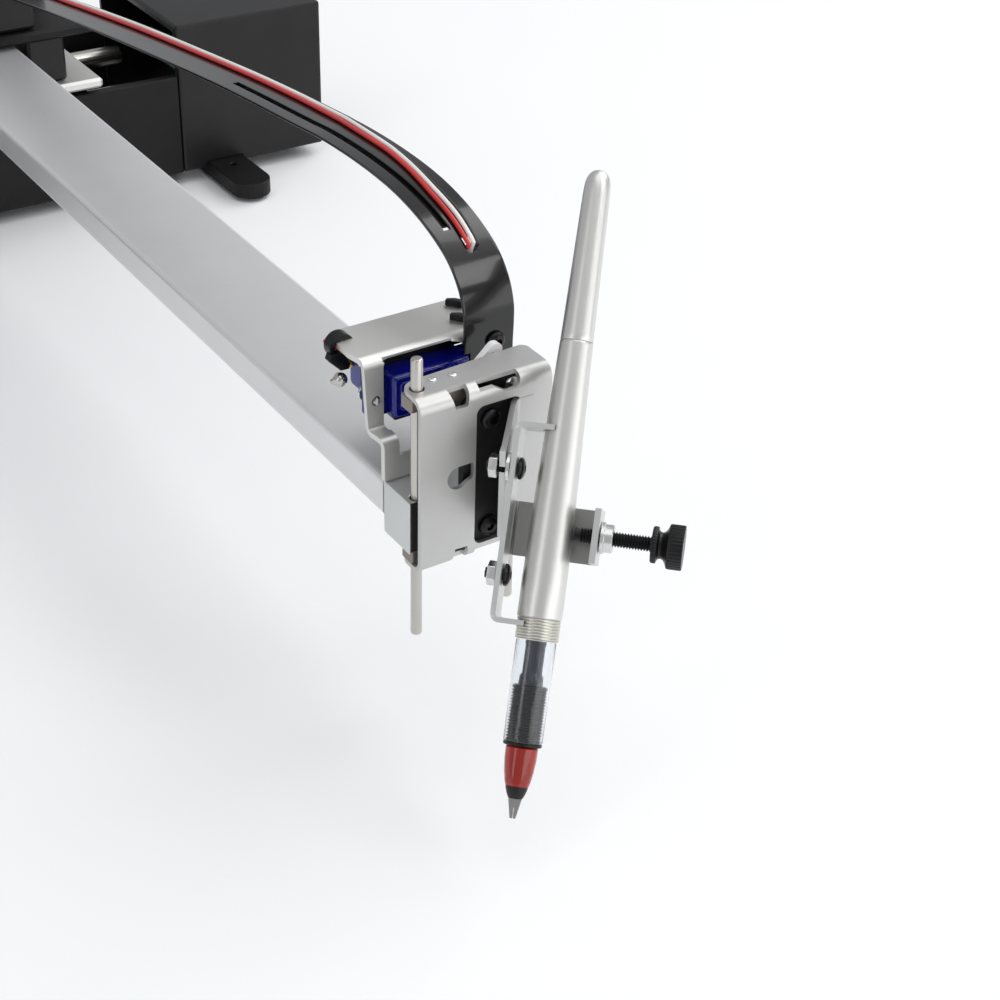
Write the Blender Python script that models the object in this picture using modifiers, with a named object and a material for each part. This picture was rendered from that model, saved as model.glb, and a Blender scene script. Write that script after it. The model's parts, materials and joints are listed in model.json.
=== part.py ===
"""XY pen drawing machine: long base, cantilevered arm, servo pen lift and a slanted calligraphy pen.

Lengths are in millimetres in the tables below and become metres when a mesh is made.  "Head" points
have their zero on the left guide rod's axis, level with the arm's top face: X right, Y back, Z up.
"""

from math import cos, pi, radians, sin

import bmesh
import bpy
from mathutils import Matrix, Vector

MM = 0.001

# ---- driving dimensions (mm) ----
HEAD = Vector((136.35, -191.0, 71.0))      # head zero, in the object's frame
GAP = 0.3                                  # between touching pieces

BASE_HALF = 298.0                          # half of the base's length
BASE_FRONT, BASE_REAR = 348.0, 428.0       # head Y
BEAM_HALF = 232.0
BEAM_BOTTOM, BEAM_TOP = -65.8, -24.0
FOOT_X, FOOT_TIP = 251.2, 317.0            # foot bars: from the middle, and how far forward
FOOT_HALF = 8.15
FOOT_Z = (-69.6, -63.2)
RAIL_Y = (366.0, 410.0)
RAIL_Z = -34.0
RAIL_R = 4.0
BELT_Y, BELT_Z, BELT_R = 388.0, -46.0, 6.0
PULLEY_X = 262.0

ARM_X0, ARM_X1 = -3.2, 30.5
ARM_DEEP = 11.0
ARM_REAR = 443.0
ARM_WALL = 1.6
PINION_X, PINION_Y = 35.7, 395.0
RACK_Z = -14.15
GEAR_PITCH = pi                            # tooth spacing along the rack
PINION_TEETH = 12

ROD_R = 1.5
ROD_X = (0.0, 28.0)
ROD_ENDS = ((-42.3, 39.6), (-40.5, 12.6))

SHEET = 1.6                                # lift carriage sheet
LIFT_X0, LIFT_X1 = -3.0, 35.0
LIFT_FRONT = -7.0
LIFT_Z0, LIFT_Z1 = -19.2, 32.0
FLAP_BEND_X, FLAP_BEND_R = 25.8, 3.2       # where the flap leaves the front sheet

SERVO_X, SERVO_Z = 18.3, 20.6              # servo shaft
HORN_ANGLE = radians(53.0)
HORN_PIN = 10.0

PEN_LEAN, PEN_TURN = radians(37.0), radians(46.0)
PEN_ZERO = Vector((13.0, -38.0, -9.2))     # a point on the pen's axis
CLIP_FACE = -10.1                          # clip plate's front, from the pen's axis
CLAMP_Z = 13.8                             # thumb screw, along the pen

BLACK = (0.012, 0.012, 0.013)
ALLOY = (0.68, 0.69, 0.70)
STEEL = (0.62, 0.61, 0.60)
LOOKS = {
    "black_metal": (BLACK, 0.45, 0.3),
    "black_plastic": (BLACK, 0.3, 0.0),
    "black_rubber": ((0.02, 0.02, 0.02), 0.8, 0.0),
    "alloy": (ALLOY, 0.35, 1.0),
    "steel": (STEEL, 0.25, 1.0),
    "motor_grey": ((0.25, 0.25, 0.26), 0.4, 0.6),
    "board_green": ((0.02, 0.12, 0.06), 0.5, 0.0),
    "servo_blue": ((0.02, 0.04, 0.55), 0.2, 0.0),
    "white_plastic": ((0.85, 0.85, 0.85), 0.4, 0.0),
    "brass": ((0.60, 0.50, 0.35), 0.35, 1.0),
    "clear_plastic": ((0.75, 0.80, 0.85), 0.1, 0.0),
    "red_plastic": ((0.55, 0.05, 0.02), 0.3, 0.0),
    "wire_red": ((0.7, 0.03, 0.03), 0.4, 0.0),
}


# ---- scene helpers ----
def clear_scene():
    for found in list(bpy.data.objects):
        bpy.data.objects.remove(found, do_unlink=True)


def collection(name):
    made = bpy.data.collections.get(name) or bpy.data.collections.new(name)
    if made.name not in bpy.context.scene.collection.children:
        bpy.context.scene.collection.children.link(made)
    return made


def material(name):
    made = bpy.data.materials.get(name)
    if made:
        return made
    colour, rough, metal = LOOKS[name]
    made = bpy.data.materials.new(name)
    made.use_nodes = True
    shader = made.node_tree.nodes["Principled BSDF"]
    shader.inputs["Base Color"].default_value = (*colour, 1.0)
    shader.inputs["Roughness"].default_value = rough
    shader.inputs["Metallic"].default_value = metal
    made.diffuse_color = (*colour, 1.0)
    return made


def body(name, head_point, turn=None):
    """An empty that a group of pieces hangs on, placed by a head point."""
    empty = bpy.data.objects.new(name, None)
    empty.location = (HEAD + Vector(head_point)) * MM
    if turn is not None:
        empty.rotation_euler = turn.to_euler()
    PARTS.objects.link(empty)
    return empty


def place(thing, parent, origin, at):
    """Hang an object on a body's empty, at a point given in the same terms as the empty's origin."""
    thing.parent = parent
    thing.location = (Vector(at) - Vector(origin)) * MM


def add(name, mesh, look, parent, at=(0, 0, 0), origin=(0, 0, 0), group=None):
    thing = bpy.data.objects.new(name, mesh)
    (group or PARTS).objects.link(thing)
    mesh.materials.append(material(look))
    place(thing, parent, origin, at)
    return thing


def smooth(thing, angle=35.0):
    thing.data.shade_smooth()
    thing.data.set_sharp_from_angle(angle=radians(angle))


def block(name, look, parent, lo, hi, origin=(0, 0, 0), bevel=0.0, steps=2, group=None):
    lo, hi = Vector(lo), Vector(hi)
    mesh = bpy.data.meshes.new(name)
    bm = bmesh.new()
    bmesh.ops.create_cube(bm, size=1.0)
    size = hi - lo
    bmesh.ops.scale(bm, vec=size * MM, verts=bm.verts)
    bm.to_mesh(mesh)
    bm.free()
    thing = add(name, mesh, look, parent, (lo + hi) / 2, origin, group)
    if bevel:
        soften(thing, bevel, steps)
    return thing


def soften(thing, width, steps=2, angle=40.0):
    mod = thing.modifiers.new("Rounded edges", "BEVEL")
    mod.width = width * MM
    mod.segments = steps
    mod.limit_method = "ANGLE"
    mod.angle_limit = radians(angle)
    return mod


def rod(name, look, parent, start, end, radius, origin=(0, 0, 0), sides=24, bevel=0.0, tip=None, group=None):
    """A round bar between two points; tip is its radius at the end, if it tapers."""
    start, end = Vector(start), Vector(end)
    axis = end - start
    mesh = bpy.data.meshes.new(name)
    bm = bmesh.new()
    bmesh.ops.create_cone(
        bm, cap_ends=True, segments=sides, radius1=radius * MM,
        radius2=(radius if tip is None else tip) * MM, depth=axis.length * MM,
    )
    bmesh.ops.rotate(bm, matrix=axis.to_track_quat("Z", "Y").to_matrix(), verts=bm.verts)
    bm.to_mesh(mesh)
    bm.free()
    thing = add(name, mesh, look, parent, (start + end) / 2, origin, group)
    smooth(thing)
    if bevel:
        soften(thing, bevel, 1)
    return thing


def turned(name, look, parent, profile, at, axis, origin=(0, 0, 0), sides=24):
    """A lathe shape: (radius, height) pairs from the top down, about an axis through a point."""
    mesh = bpy.data.meshes.new(name)
    bm = bmesh.new()
    closed = profile[0] == profile[-1]
    verts = [bm.verts.new((r * MM, 0, z * MM)) for r, z in (profile[:-1] if closed else profile)]
    for a, b in zip(verts, verts[1:] + verts[:1] if closed else verts[1:]):
        bm.edges.new((a, b))
    bm.to_mesh(mesh)
    bm.free()
    thing = add(name, mesh, look, parent, at, origin)
    thing.rotation_euler = Vector(axis).to_track_quat("Z", "Y").to_euler()
    mod = thing.modifiers.new("Turned", "SCREW")
    mod.steps = mod.render_steps = sides
    mod.use_merge_vertices = True
    mod.merge_threshold = 0.00002
    mod.use_smooth_shade = True
    return thing


def outline(name, look, parent, loops, thick, at, frame=None, origin=(0, 0, 0), group=None):
    """A flat plate: closed 2D loops (the first is the rim, the rest are holes), turned into a mesh."""
    curve = bpy.data.curves.new(name, "CURVE")
    curve.dimensions = "2D"
    curve.fill_mode = "BOTH"
    curve.extrude = thick * MM / 2
    for loop in loops:
        spline = curve.splines.new("POLY")
        spline.points.add(len(loop) - 1)
        for point, (x, y) in zip(spline.points, loop):
            point.co = (x * MM, y * MM, 0, 1)
        spline.use_cyclic_u = True
    guide = bpy.data.objects.new(name + "_outline", curve)
    (group or PARTS).objects.link(guide)
    bpy.context.view_layer.update()
    mesh = bpy.data.meshes.new_from_object(guide.evaluated_get(bpy.context.evaluated_depsgraph_get()))
    bpy.data.objects.remove(guide, do_unlink=True)
    bm = bmesh.new()
    bm.from_mesh(mesh)
    bmesh.ops.remove_doubles(bm, verts=bm.verts, dist=1e-6)
    if frame is not None:
        bmesh.ops.transform(bm, matrix=frame.to_4x4(), verts=bm.verts)
    bmesh.ops.recalc_face_normals(bm, faces=bm.faces)
    bm.to_mesh(mesh)
    bm.free()
    mesh.name = name
    mesh.materials.clear()
    return add(name, mesh, look, parent, at, origin, group)


def axes(x, y):
    """A rotation whose columns are the directions that a flat outline's x and y take."""
    x, y = Vector(x).normalized(), Vector(y).normalized()
    return Matrix((x, y, x.cross(y))).transposed()


def bent(points, radius, steps=4):
    """An open path with its inner corners rounded to a radius."""
    path = [Vector(points[0])]
    for before, corner, after in zip(points, points[1:], points[2:]):
        corner = Vector(corner)
        a, b = (Vector(before) - corner).normalized(), (Vector(after) - corner).normalized()
        half = a.angle(b) / 2
        centre = corner + (a + b).normalized() * (radius / sin(half))
        away = radius * cos(half) / sin(half)
        u, v = corner + a * away - centre, corner + b * away - centre
        sweep = u.angle(v)
        for i in range(steps + 1):
            part = i / steps
            path.append(centre + (u * sin((1 - part) * sweep) + v * sin(part * sweep)) / sin(sweep))
    path.append(Vector(points[-1]))
    return path


def thickened(path, thick):
    """The closed outline of a strip that follows an open 2D path, half its thickness each side."""
    left, right = [], []
    for i, point in enumerate(path):
        back = path[i] - path[i - 1] if i else path[1] - path[0]
        ahead = path[i + 1] - path[i] if i + 1 < len(path) else back
        a, b = back.normalized(), ahead.normalized()
        normal = Vector((-(a.y + b.y), a.x + b.x)).normalized()
        reach = thick / 2 / max(0.4, normal.dot(Vector((-a.y, a.x))))
        left.append(tuple(point + normal * reach))
        right.append(tuple(point - normal * reach))
    return left + right[::-1]


def rounded(x0, y0, x1, y1, radius, steps=4):
    """A rectangle's loop with round corners."""
    loop = []
    for cx, cy, start in ((x1, y1, 0), (x0, y1, 90), (x0, y0, 180), (x1, y0, 270)):
        ox = cx - radius if cx == x1 else cx + radius
        oy = cy - radius if cy == y1 else cy + radius
        for i in range(steps + 1):
            a = radians(start + 90 * i / steps)
            loop.append((ox + radius * cos(a), oy + radius * sin(a)))
    return loop


def circle(x, y, radius, sides=20):
    return [(x + radius * cos(2 * pi * i / sides), y + radius * sin(2 * pi * i / sides)) for i in range(sides)]


def cut(thing, cutter, operation="DIFFERENCE"):
    cutter.hide_render = True
    cutter.display_type = "WIRE"
    mod = thing.modifiers.new(cutter.name, "BOOLEAN")
    mod.operation = operation
    mod.solver = "EXACT"
    mod.object = cutter
    return thing


def baked(thing, angle=35.0):
    """Apply a piece's modifiers, so that it can be bevelled or cut again, and clear what it was cut with."""
    bpy.context.view_layer.update()
    mesh = bpy.data.meshes.new_from_object(thing.evaluated_get(bpy.context.evaluated_depsgraph_get()))
    thing.modifiers.clear()
    thing.data = mesh
    smooth(thing, angle)
    return thing


def button_screw(name, parent, at, axis, head_r, head_h, shank_r, length, origin=(0, 0, 0), look="black_metal"):
    """A dome-headed screw: its seat at the point, its head outward along the axis and its shank inward."""
    dome = [(0, head_h), (head_r * 0.45, head_h * 0.96), (head_r * 0.8, head_h * 0.68), (head_r, head_h * 0.2)]
    shape = dome + [(head_r, 0), (shank_r, 0), (shank_r, -length), (0, -length)]
    return turned(name, look, parent, shape, at, axis, origin, 20)


# ---- base ----
def build_base():
    root = body("base", (-HEAD.x, 0, 0))
    here = (-HEAD.x, 0, 0)

    def bx(name, look, lo, hi, **more):
        """A block given by X from the middle of the base, and head Y and Z."""
        shift = Vector((-HEAD.x, 0, 0))
        return block(name, look, root, Vector(lo) + shift, Vector(hi) + shift, here, **more)

    def cx(x, y, z):
        return (x - HEAD.x, y, z)

    beam = bx("base_beam", "black_metal", (-BEAM_HALF, BASE_FRONT, BEAM_BOTTOM), (BEAM_HALF, BASE_REAR, BEAM_TOP))
    trough = bx("base_trough", "black_metal", (-BEAM_HALF - 5, BASE_FRONT + 4, BEAM_BOTTOM + 4),
                (BEAM_HALF + 5, BASE_REAR - 4, BEAM_TOP + 5), group=CUTTERS)
    cut(beam, trough)
    soften(beam, 0.5, 1)

    for side, sign in (("left", -1), ("right", 1)):
        inner, outer = sign * (BEAM_HALF + GAP), sign * BASE_HALF
        lo, hi = min(inner, outer), max(inner, outer)
        shell = bx(f"end_housing_{side}", "black_plastic", (lo, BASE_FRONT, BEAM_BOTTOM), (hi, BASE_REAR, -3.0))
        soften(shell, 1.2, 2)
        baked(shell)
        cavity = bx(f"housing_cavity_{side}", "black_plastic",
                    (min(inner - sign * 4, outer - sign * 3), BASE_FRONT + 3, -70),
                    (max(inner - sign * 4, outer - sign * 3), BASE_REAR - 3, -6.0), group=CUTTERS)
        cut(shell, cavity)
        bar_x = sign * FOOT_X
        cut(shell, bx(f"foot_way_{side}", "black_plastic", (bar_x - FOOT_HALF - GAP, BASE_FRONT - 2, -70),
                      (bar_x + FOOT_HALF + GAP, BASE_FRONT + 5, FOOT_Z[1] + GAP), group=CUTTERS))
        centre_y = FOOT_TIP + FOOT_HALF
        loop = [(bar_x - FOOT_HALF, 424.5), (bar_x - FOOT_HALF, centre_y)]
        loop += [(bar_x - FOOT_HALF * cos(pi * i / 12), centre_y - FOOT_HALF * sin(pi * i / 12)) for i in range(1, 12)]
        loop += [(bar_x + FOOT_HALF, centre_y), (bar_x + FOOT_HALF, 424.5)]
        bar = outline(f"foot_bar_{side}", "black_metal", root, [loop, circle(bar_x, centre_y + 15.6, 1.5, 16)],
                      FOOT_Z[1] - FOOT_Z[0], (-HEAD.x, 0, (FOOT_Z[0] + FOOT_Z[1]) / 2), origin=here)
        soften(bar, 0.6, 1, 60)
        for where, y in (("front", FOOT_TIP + 11), ("rear", 414.0)):
            pad = rod(f"foot_pad_{side}_{where}", "black_rubber", root, cx(bar_x, y, -71.0),
                      cx(bar_x, y, FOOT_Z[0] - GAP), 6.5, here, 24)
            soften(pad, 0.25, 1, 60)

    for where, y in zip(("front", "rear"), RAIL_Y):
        rod(f"rail_{where}", "steel", root, cx(-BEAM_HALF, y, RAIL_Z), cx(BEAM_HALF, y, RAIL_Z), RAIL_R, here)

    half = PULLEY_X
    outer, inner = [], []
    for r, loop in ((BELT_R + 1.3, outer), (BELT_R, inner)):
        for i in range(13):
            a = -pi / 2 + pi * i / 12
            loop.append((half + r * cos(a), BELT_Y + r * sin(a)))
        for i in range(13):
            a = pi / 2 + pi * i / 12
            loop.append((-half + r * cos(a), BELT_Y + r * sin(a)))
    outline("x_belt", "black_rubber", root, [outer, inner], 6.0, (-HEAD.x, 0, BELT_Z), origin=here)

    motor = bx("x_motor", "motor_grey", (-half - 17.5, BELT_Y - 17.5, -40.0), (-half + 17.5, BELT_Y + 17.5, -8.0))
    soften(motor, 3.0, 1)
    baked(motor)
    cut(motor, rod("x_motor_shaft", "steel", root, cx(-half, BELT_Y, -39.0), cx(-half, BELT_Y, -50.0), 2.5, here, 16,
                   group=CUTTERS), "UNION")
    bracket = bx("idler_bracket", "motor_grey", (half - 20, BELT_Y - 20, -57.0), (half + 20, BELT_Y + 20, -53.8))
    cut(bracket, rod("idler_post", "steel", root, cx(half, BELT_Y, -55.0), cx(half, BELT_Y, -38.0), 2.5, here, 16,
                     group=CUTTERS), "UNION")
    bx("controller_board", "board_green", (240, 356, -30), (286, 420, -28.4), bevel=0.4, steps=1)
    return root


def pulley(name, x, z):
    centre = (x - HEAD.x, BELT_Y, z)
    hub = body(name + "_axis", centre)
    shape = [(2.8, 4.5), (7.6, 4.5), (7.6, 3.4), (5.7, 3.4), (5.7, -3.4), (7.6, -3.4), (7.6, -4.5), (2.8, -4.5), (2.8, 4.5)]
    turned(name, "alloy", hub, shape, centre, (0, 0, 1), centre)


# ---- carriage that runs along the base ----
def build_x_carriage():
    car = body("x_carriage", (13.65, 388.0, -19.5))
    here = (13.65, 388.0, -19.5)
    plate = block("carriage_plate", "alloy", car, (-36, 346, -21.5), (63, 430, -17.5), here)
    soften(plate, 1.0, 1)
    for where, y in zip(("front", "rear"), RAIL_Y):
        glide = block(f"glide_{where}", "black_plastic", car, (-33, y - 9, -42), (60, y + 9, -21.8), here)
        cut(glide, rod(f"glide_bore_{where}", "steel", car, (-40, y, RAIL_Z), (70, y, RAIL_Z), RAIL_R + GAP, here,
                       group=CUTTERS))
    block("arm_cheek_left", "black_plastic", car, (-14, 350, -17.2), (ARM_X0 - 0.5, 426, 1.0), here, 1.0, 1)
    block("arm_cheek_right", "black_plastic", car, (35.0, 350, -17.2), (50.0, 374, 1.0), here, 1.0, 1)
    bridge = block("carriage_bridge", "black_metal", car, (-14, 346, 1.3), (63, 430, 5.3), here)
    shaft_hole = rod("bridge_shaft_hole", "steel", car, (PINION_X, PINION_Y, -2), (PINION_X, PINION_Y, 9), 5.0, here,
                     group=CUTTERS)
    cut(bridge, shaft_hole)
    soften(bridge, 1.0, 1)
    motor = block("y_motor", "motor_grey", car, (PINION_X - 17.5, PINION_Y - 17.5, 5.6),
                  (PINION_X + 17.5, PINION_Y + 17.5, 38.0), here)
    soften(motor, 3.0, 1)
    baked(motor)
    cut(motor, rod("y_motor_shaft", "steel", car, (PINION_X, PINION_Y, 7.0), (PINION_X, PINION_Y, -17.0), 2.0, here, 16,
                   group=CUTTERS), "UNION")
    anchor = block("strip_anchor", "black_plastic", car, (21.5, 349, 5.6), (39.0, 360, 23.0), here)
    soften(anchor, 1.5, 2)
    return car


def build_pinion():
    centre = (PINION_X, PINION_Y, RACK_Z)
    hub = body("y_pinion_axis", centre)
    loop = []
    for tooth in range(PINION_TEETH):
        mid = pi + 2 * pi * tooth / PINION_TEETH
        for r, half in ((4.75, 0.20), (7.0, 0.05)):
            loop.append((r * cos(mid - half), r * sin(mid - half)))
        for r, half in ((7.0, 0.05), (4.75, 0.20)):
            loop.append((r * cos(mid + half), r * sin(mid + half)))
    outline("y_pinion", "brass", hub, [loop, circle(0, 0, 2.3, 16)], 5.4, centre, origin=centre)


# ---- arm ----
def build_rack(arm, here):
    """A ribbon whose one edge follows the teeth, thickened upward."""
    count, first = 78, PINION_Y - GEAR_PITCH * 74
    root_x, tip_x = PINION_X - 7.5, PINION_X - 5.3
    edge = [(root_x, first - 2)]
    for i in range(count):
        mid = first + GEAR_PITCH * (i + 0.5)
        edge += [(root_x, mid - 1.15), (tip_x, mid - 0.35), (tip_x, mid + 0.35), (root_x, mid + 1.15)]
    edge.append((root_x, first + GEAR_PITCH * count + 2))
    mesh = bpy.data.meshes.new("arm_rack")
    bm = bmesh.new()
    bmesh.ops.create_grid(bm, x_segments=1, y_segments=len(edge) - 1, size=0.5)
    rows = sorted(bm.verts, key=lambda v: (round(v.co.y, 5), v.co.x))
    for i, (x, y) in enumerate(edge):
        rows[2 * i].co = ((root_x - 1.6) * MM, y * MM, 0)
        rows[2 * i + 1].co = (x * MM, y * MM, 0)
    bm.to_mesh(mesh)
    bm.free()
    rack = add("arm_rack", mesh, "black_plastic", arm, (0, 0, RACK_Z), here)
    mod = rack.modifiers.new("Depth", "SOLIDIFY")
    mod.thickness = 5.4 * MM
    mod.offset = 0.0


def strip_path():
    """Height of the cable-guide strip against distance back along the arm."""
    knots = [(15.1, 20), (15.1, 27), (14.9, 33), (15.4, 38.5), (18.2, 44.8), (24.5, 50), (37.5, 54.2), (52, 56),
             (70, 56.5), (105, 55), (150, 51), (200, 45), (250, 38.5), (300, 31), (335, 25.5), (361, 23.8)]
    path = []
    for i in range(1, len(knots) - 2):
        p0, p1, p2, p3 = (Vector(knots[k]) for k in (i - 1, i, i + 1, i + 2))
        for j in range(4):
            t = j / 4
            path.append(0.5 * ((2 * p1) + (p2 - p0) * t + (2 * p0 - 5 * p1 + 4 * p2 - p3) * t * t
                               + (3 * p1 - p0 - 3 * p2 + p3) * t ** 3))
    return [Vector(knots[0])] + path + [Vector(knots[-2]), Vector(knots[-1])]


def offset_path(path, shift):
    moved = []
    for i, point in enumerate(path):
        ahead = (path[min(i + 1, len(path) - 1)] - path[max(i - 1, 0)]).normalized()
        moved.append(point + Vector((-ahead.y, ahead.x)) * shift)
    return moved


def build_arm():
    arm = body("arm", (13.65, 0, 0))
    here = (13.65, 0, 0)
    upright = axes((0, 1, 0), (0, 0, 1))                 # outlines drawn in Y and Z
    across = axes((1, 0, 0), (0, 0, 1))                  # outlines drawn in X and Z

    length = ARM_REAR - 11.3
    outline("arm_beam", "alloy", arm,
            [rounded(ARM_X0, -ARM_DEEP, ARM_X1, 0, 1.5, 3),
             rounded(ARM_X0 + ARM_WALL, -ARM_DEEP + ARM_WALL, ARM_X1 - ARM_WALL, -ARM_WALL, 0.5, 1)],
            length, (0, 11.3 + length / 2, 0), across, here)
    cap = block("arm_rear_cap", "black_plastic", arm, (ARM_X0, ARM_REAR + GAP, -ARM_DEEP), (ARM_X1, 445.5, 0), here)
    soften(cap, 0.9, 1)

    block_piece = block("arm_end_block", "alloy", arm, (ARM_X0, -2.1, -15.5), (ARM_X1, 11.0, 0), here)
    soften(block_piece, 0.5, 1)
    baked(block_piece)
    for side, x, (low, high) in zip(("left", "right"), ROD_X, ROD_ENDS):
        hole = rod(f"block_bore_{side}", "steel", arm, (x, 0, -20), (x, 0, 5), ROD_R + 0.2, here, 20, group=CUTTERS)
        cut(block_piece, hole)
        rod(f"guide_rod_{side}", "steel", arm, (x, 0, low), (x, 0, high), ROD_R, here, 20, 0.3)

    build_rack(arm, here)

    # servo bracket: one folded sheet, its middle cut away round the servo
    fold = bent([(34.5, 31.25), (17.25, 31.25), (17.25, 11.4), (10.25, 11.4), (10.25, 0.4)], 1.6, 3)
    bracket = outline("servo_bracket", "alloy", arm, [thickened(fold, 1.5)], 37.1, (13.65, 0, 0), upright, here)
    middle = (-0.5, 27.8)
    cut(bracket, block("bracket_window", "alloy", arm, (middle[0], 14.5, 9.0), (middle[1], 19.5, 30.0), here, group=CUTTERS))
    cut(bracket, block("bracket_throat", "alloy", arm, (0.4, 8.0, 7.7), (26.9, 19.0, 13.0), here, group=CUTTERS))
    cut(bracket, block("bracket_side_left", "alloy", arm, (-6, 8.0, 7.7), (-3.4, 12.5, 11.9), here, group=CUTTERS))
    cut(bracket, block("bracket_side_right", "alloy", arm, (30.7, 8.0, 7.7), (33, 12.5, 11.9), here, group=CUTTERS))
    for side, x0, x1, sign in (("left", -10, -4.9 + 4, -1), ("right", 32.2 - 4, 38, 1)):
        cx = -4.9 + 4 if sign < 0 else 32.2 - 4
        loop = [(cx, 30.5)] + [(cx + sign * 4 * sin(radians(15 * i)), 30.5 + 4 * cos(radians(15 * i))) for i in range(7)]
        loop += [(cx + sign * 8, 30.5), (cx + sign * 8, 40), (cx, 40)]
        corner = outline(f"bracket_corner_{side}", "alloy", arm, [loop[1:]], 6.0, (0, 0, 31.2), origin=here, group=CUTTERS)
        cut(bracket, corner)

    servo = block("servo_body", "servo_blue", arm, (1.7, 14.0, 14.5), (24.2, 36.7, 26.7), here, 0.4, 1)
    cut(servo, block("servo_ears", "servo_blue", arm, (-3.1, 18.3, 14.6), (29.3, 20.8, 26.6), here, group=CUTTERS), "UNION")
    cut(servo, rod("servo_boss", "servo_blue", arm, (SERVO_X, 14.5, SERVO_Z), (SERVO_X, 10.0, SERVO_Z), 5.88, here,
                   28, group=CUTTERS), "UNION")
    for side, x in (("left", -1.2), ("right", 29.0)):
        cut(servo, rod(f"ear_hole_{side}", "steel", arm, (x, 16, SERVO_Z), (x, 23, SERVO_Z), 1.3, here, 16, group=CUTTERS))
        cut(bracket, rod(f"strap_hole_{side}", "steel", arm, (x, 14, SERVO_Z), (x, 19, SERVO_Z), 1.3, here, 16, group=CUTTERS))
        button_screw(f"ear_screw_{side}", arm, (x, 21.1, SERVO_Z), (0, 1, 0), 2.3, 2.0, 1.0, 5.2, here, "steel")

    path = strip_path()
    guide = outline("cable_guide", "black_plastic", arm, [thickened(path, 0.8)], 14.9, (30.15, 0, 0), upright, here)
    cut(guide, block("guide_notch", "black_plastic", arm, (20, 10, 15), (24.8, 18, 27.2), here, group=CUTTERS))
    cut(guide, rod("guide_screw_hole", "steel", arm, (32.6, 10, 27.4), (32.6, 20, 27.4), 1.3, here, 16, group=CUTTERS))
    button_screw("guide_screw", arm, (32.6, 14.3, 27.4), (0, -1, 0), 2.8, 1.7, 1.0, 1.9, here)

    lead = [p for p in offset_path(path, 1.25) if p.x > 19.5 or p.y > 47]
    lead = [p for p in lead if p.y > 46.5 or p.x > 60]
    outline("servo_lead", "wire_red", arm, [thickened(lead, 1.1)], 3.6, (30.6, 0, 0), upright, here)

    clip = [(-2.6 + 3.4 * cos(radians(a)), 37.6 + 3.4 * sin(radians(a))) for a in range(-30, 211, 24)]
    outline("cable_clip", "black_plastic", arm, [thickened([Vector(p) for p in clip], 1.6)], 5.0, (0, 0, 29.0), origin=here)
    return arm


# ---- servo horn ----
def build_horn():
    hub_at = (SERVO_X, 8.0, SERVO_Z)
    hub = body("horn_axis", hub_at)
    across = axes((1, 0, 0), (0, 0, 1))
    d = Vector((cos(HORN_ANGLE), sin(HORN_ANGLE)))
    side = Vector((-d.y, d.x))
    loop = []
    for i in range(11):
        a = pi / 2 + pi * i / 10
        loop.append(tuple(d * (3.4 * cos(a)) + side * (3.4 * sin(a))))
    for i in range(9):
        a = -pi / 2 + pi * i / 8
        loop.append(tuple(d * (12.8 + 2.0 * cos(a)) + side * (2.0 * sin(a))))
    horn = outline("servo_horn", "white_plastic", hub, [loop], 1.9, hub_at, across, hub_at)
    pin = Vector((SERVO_X, 0, SERVO_Z)) + Vector((d.x, 0, d.y)) * HORN_PIN
    cut(horn, rod("horn_pin", "steel", hub, (pin.x, 8.4, pin.z), (pin.x, 2.3, pin.z), 0.8, hub_at, 16,
                  group=CUTTERS), "UNION")


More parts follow.
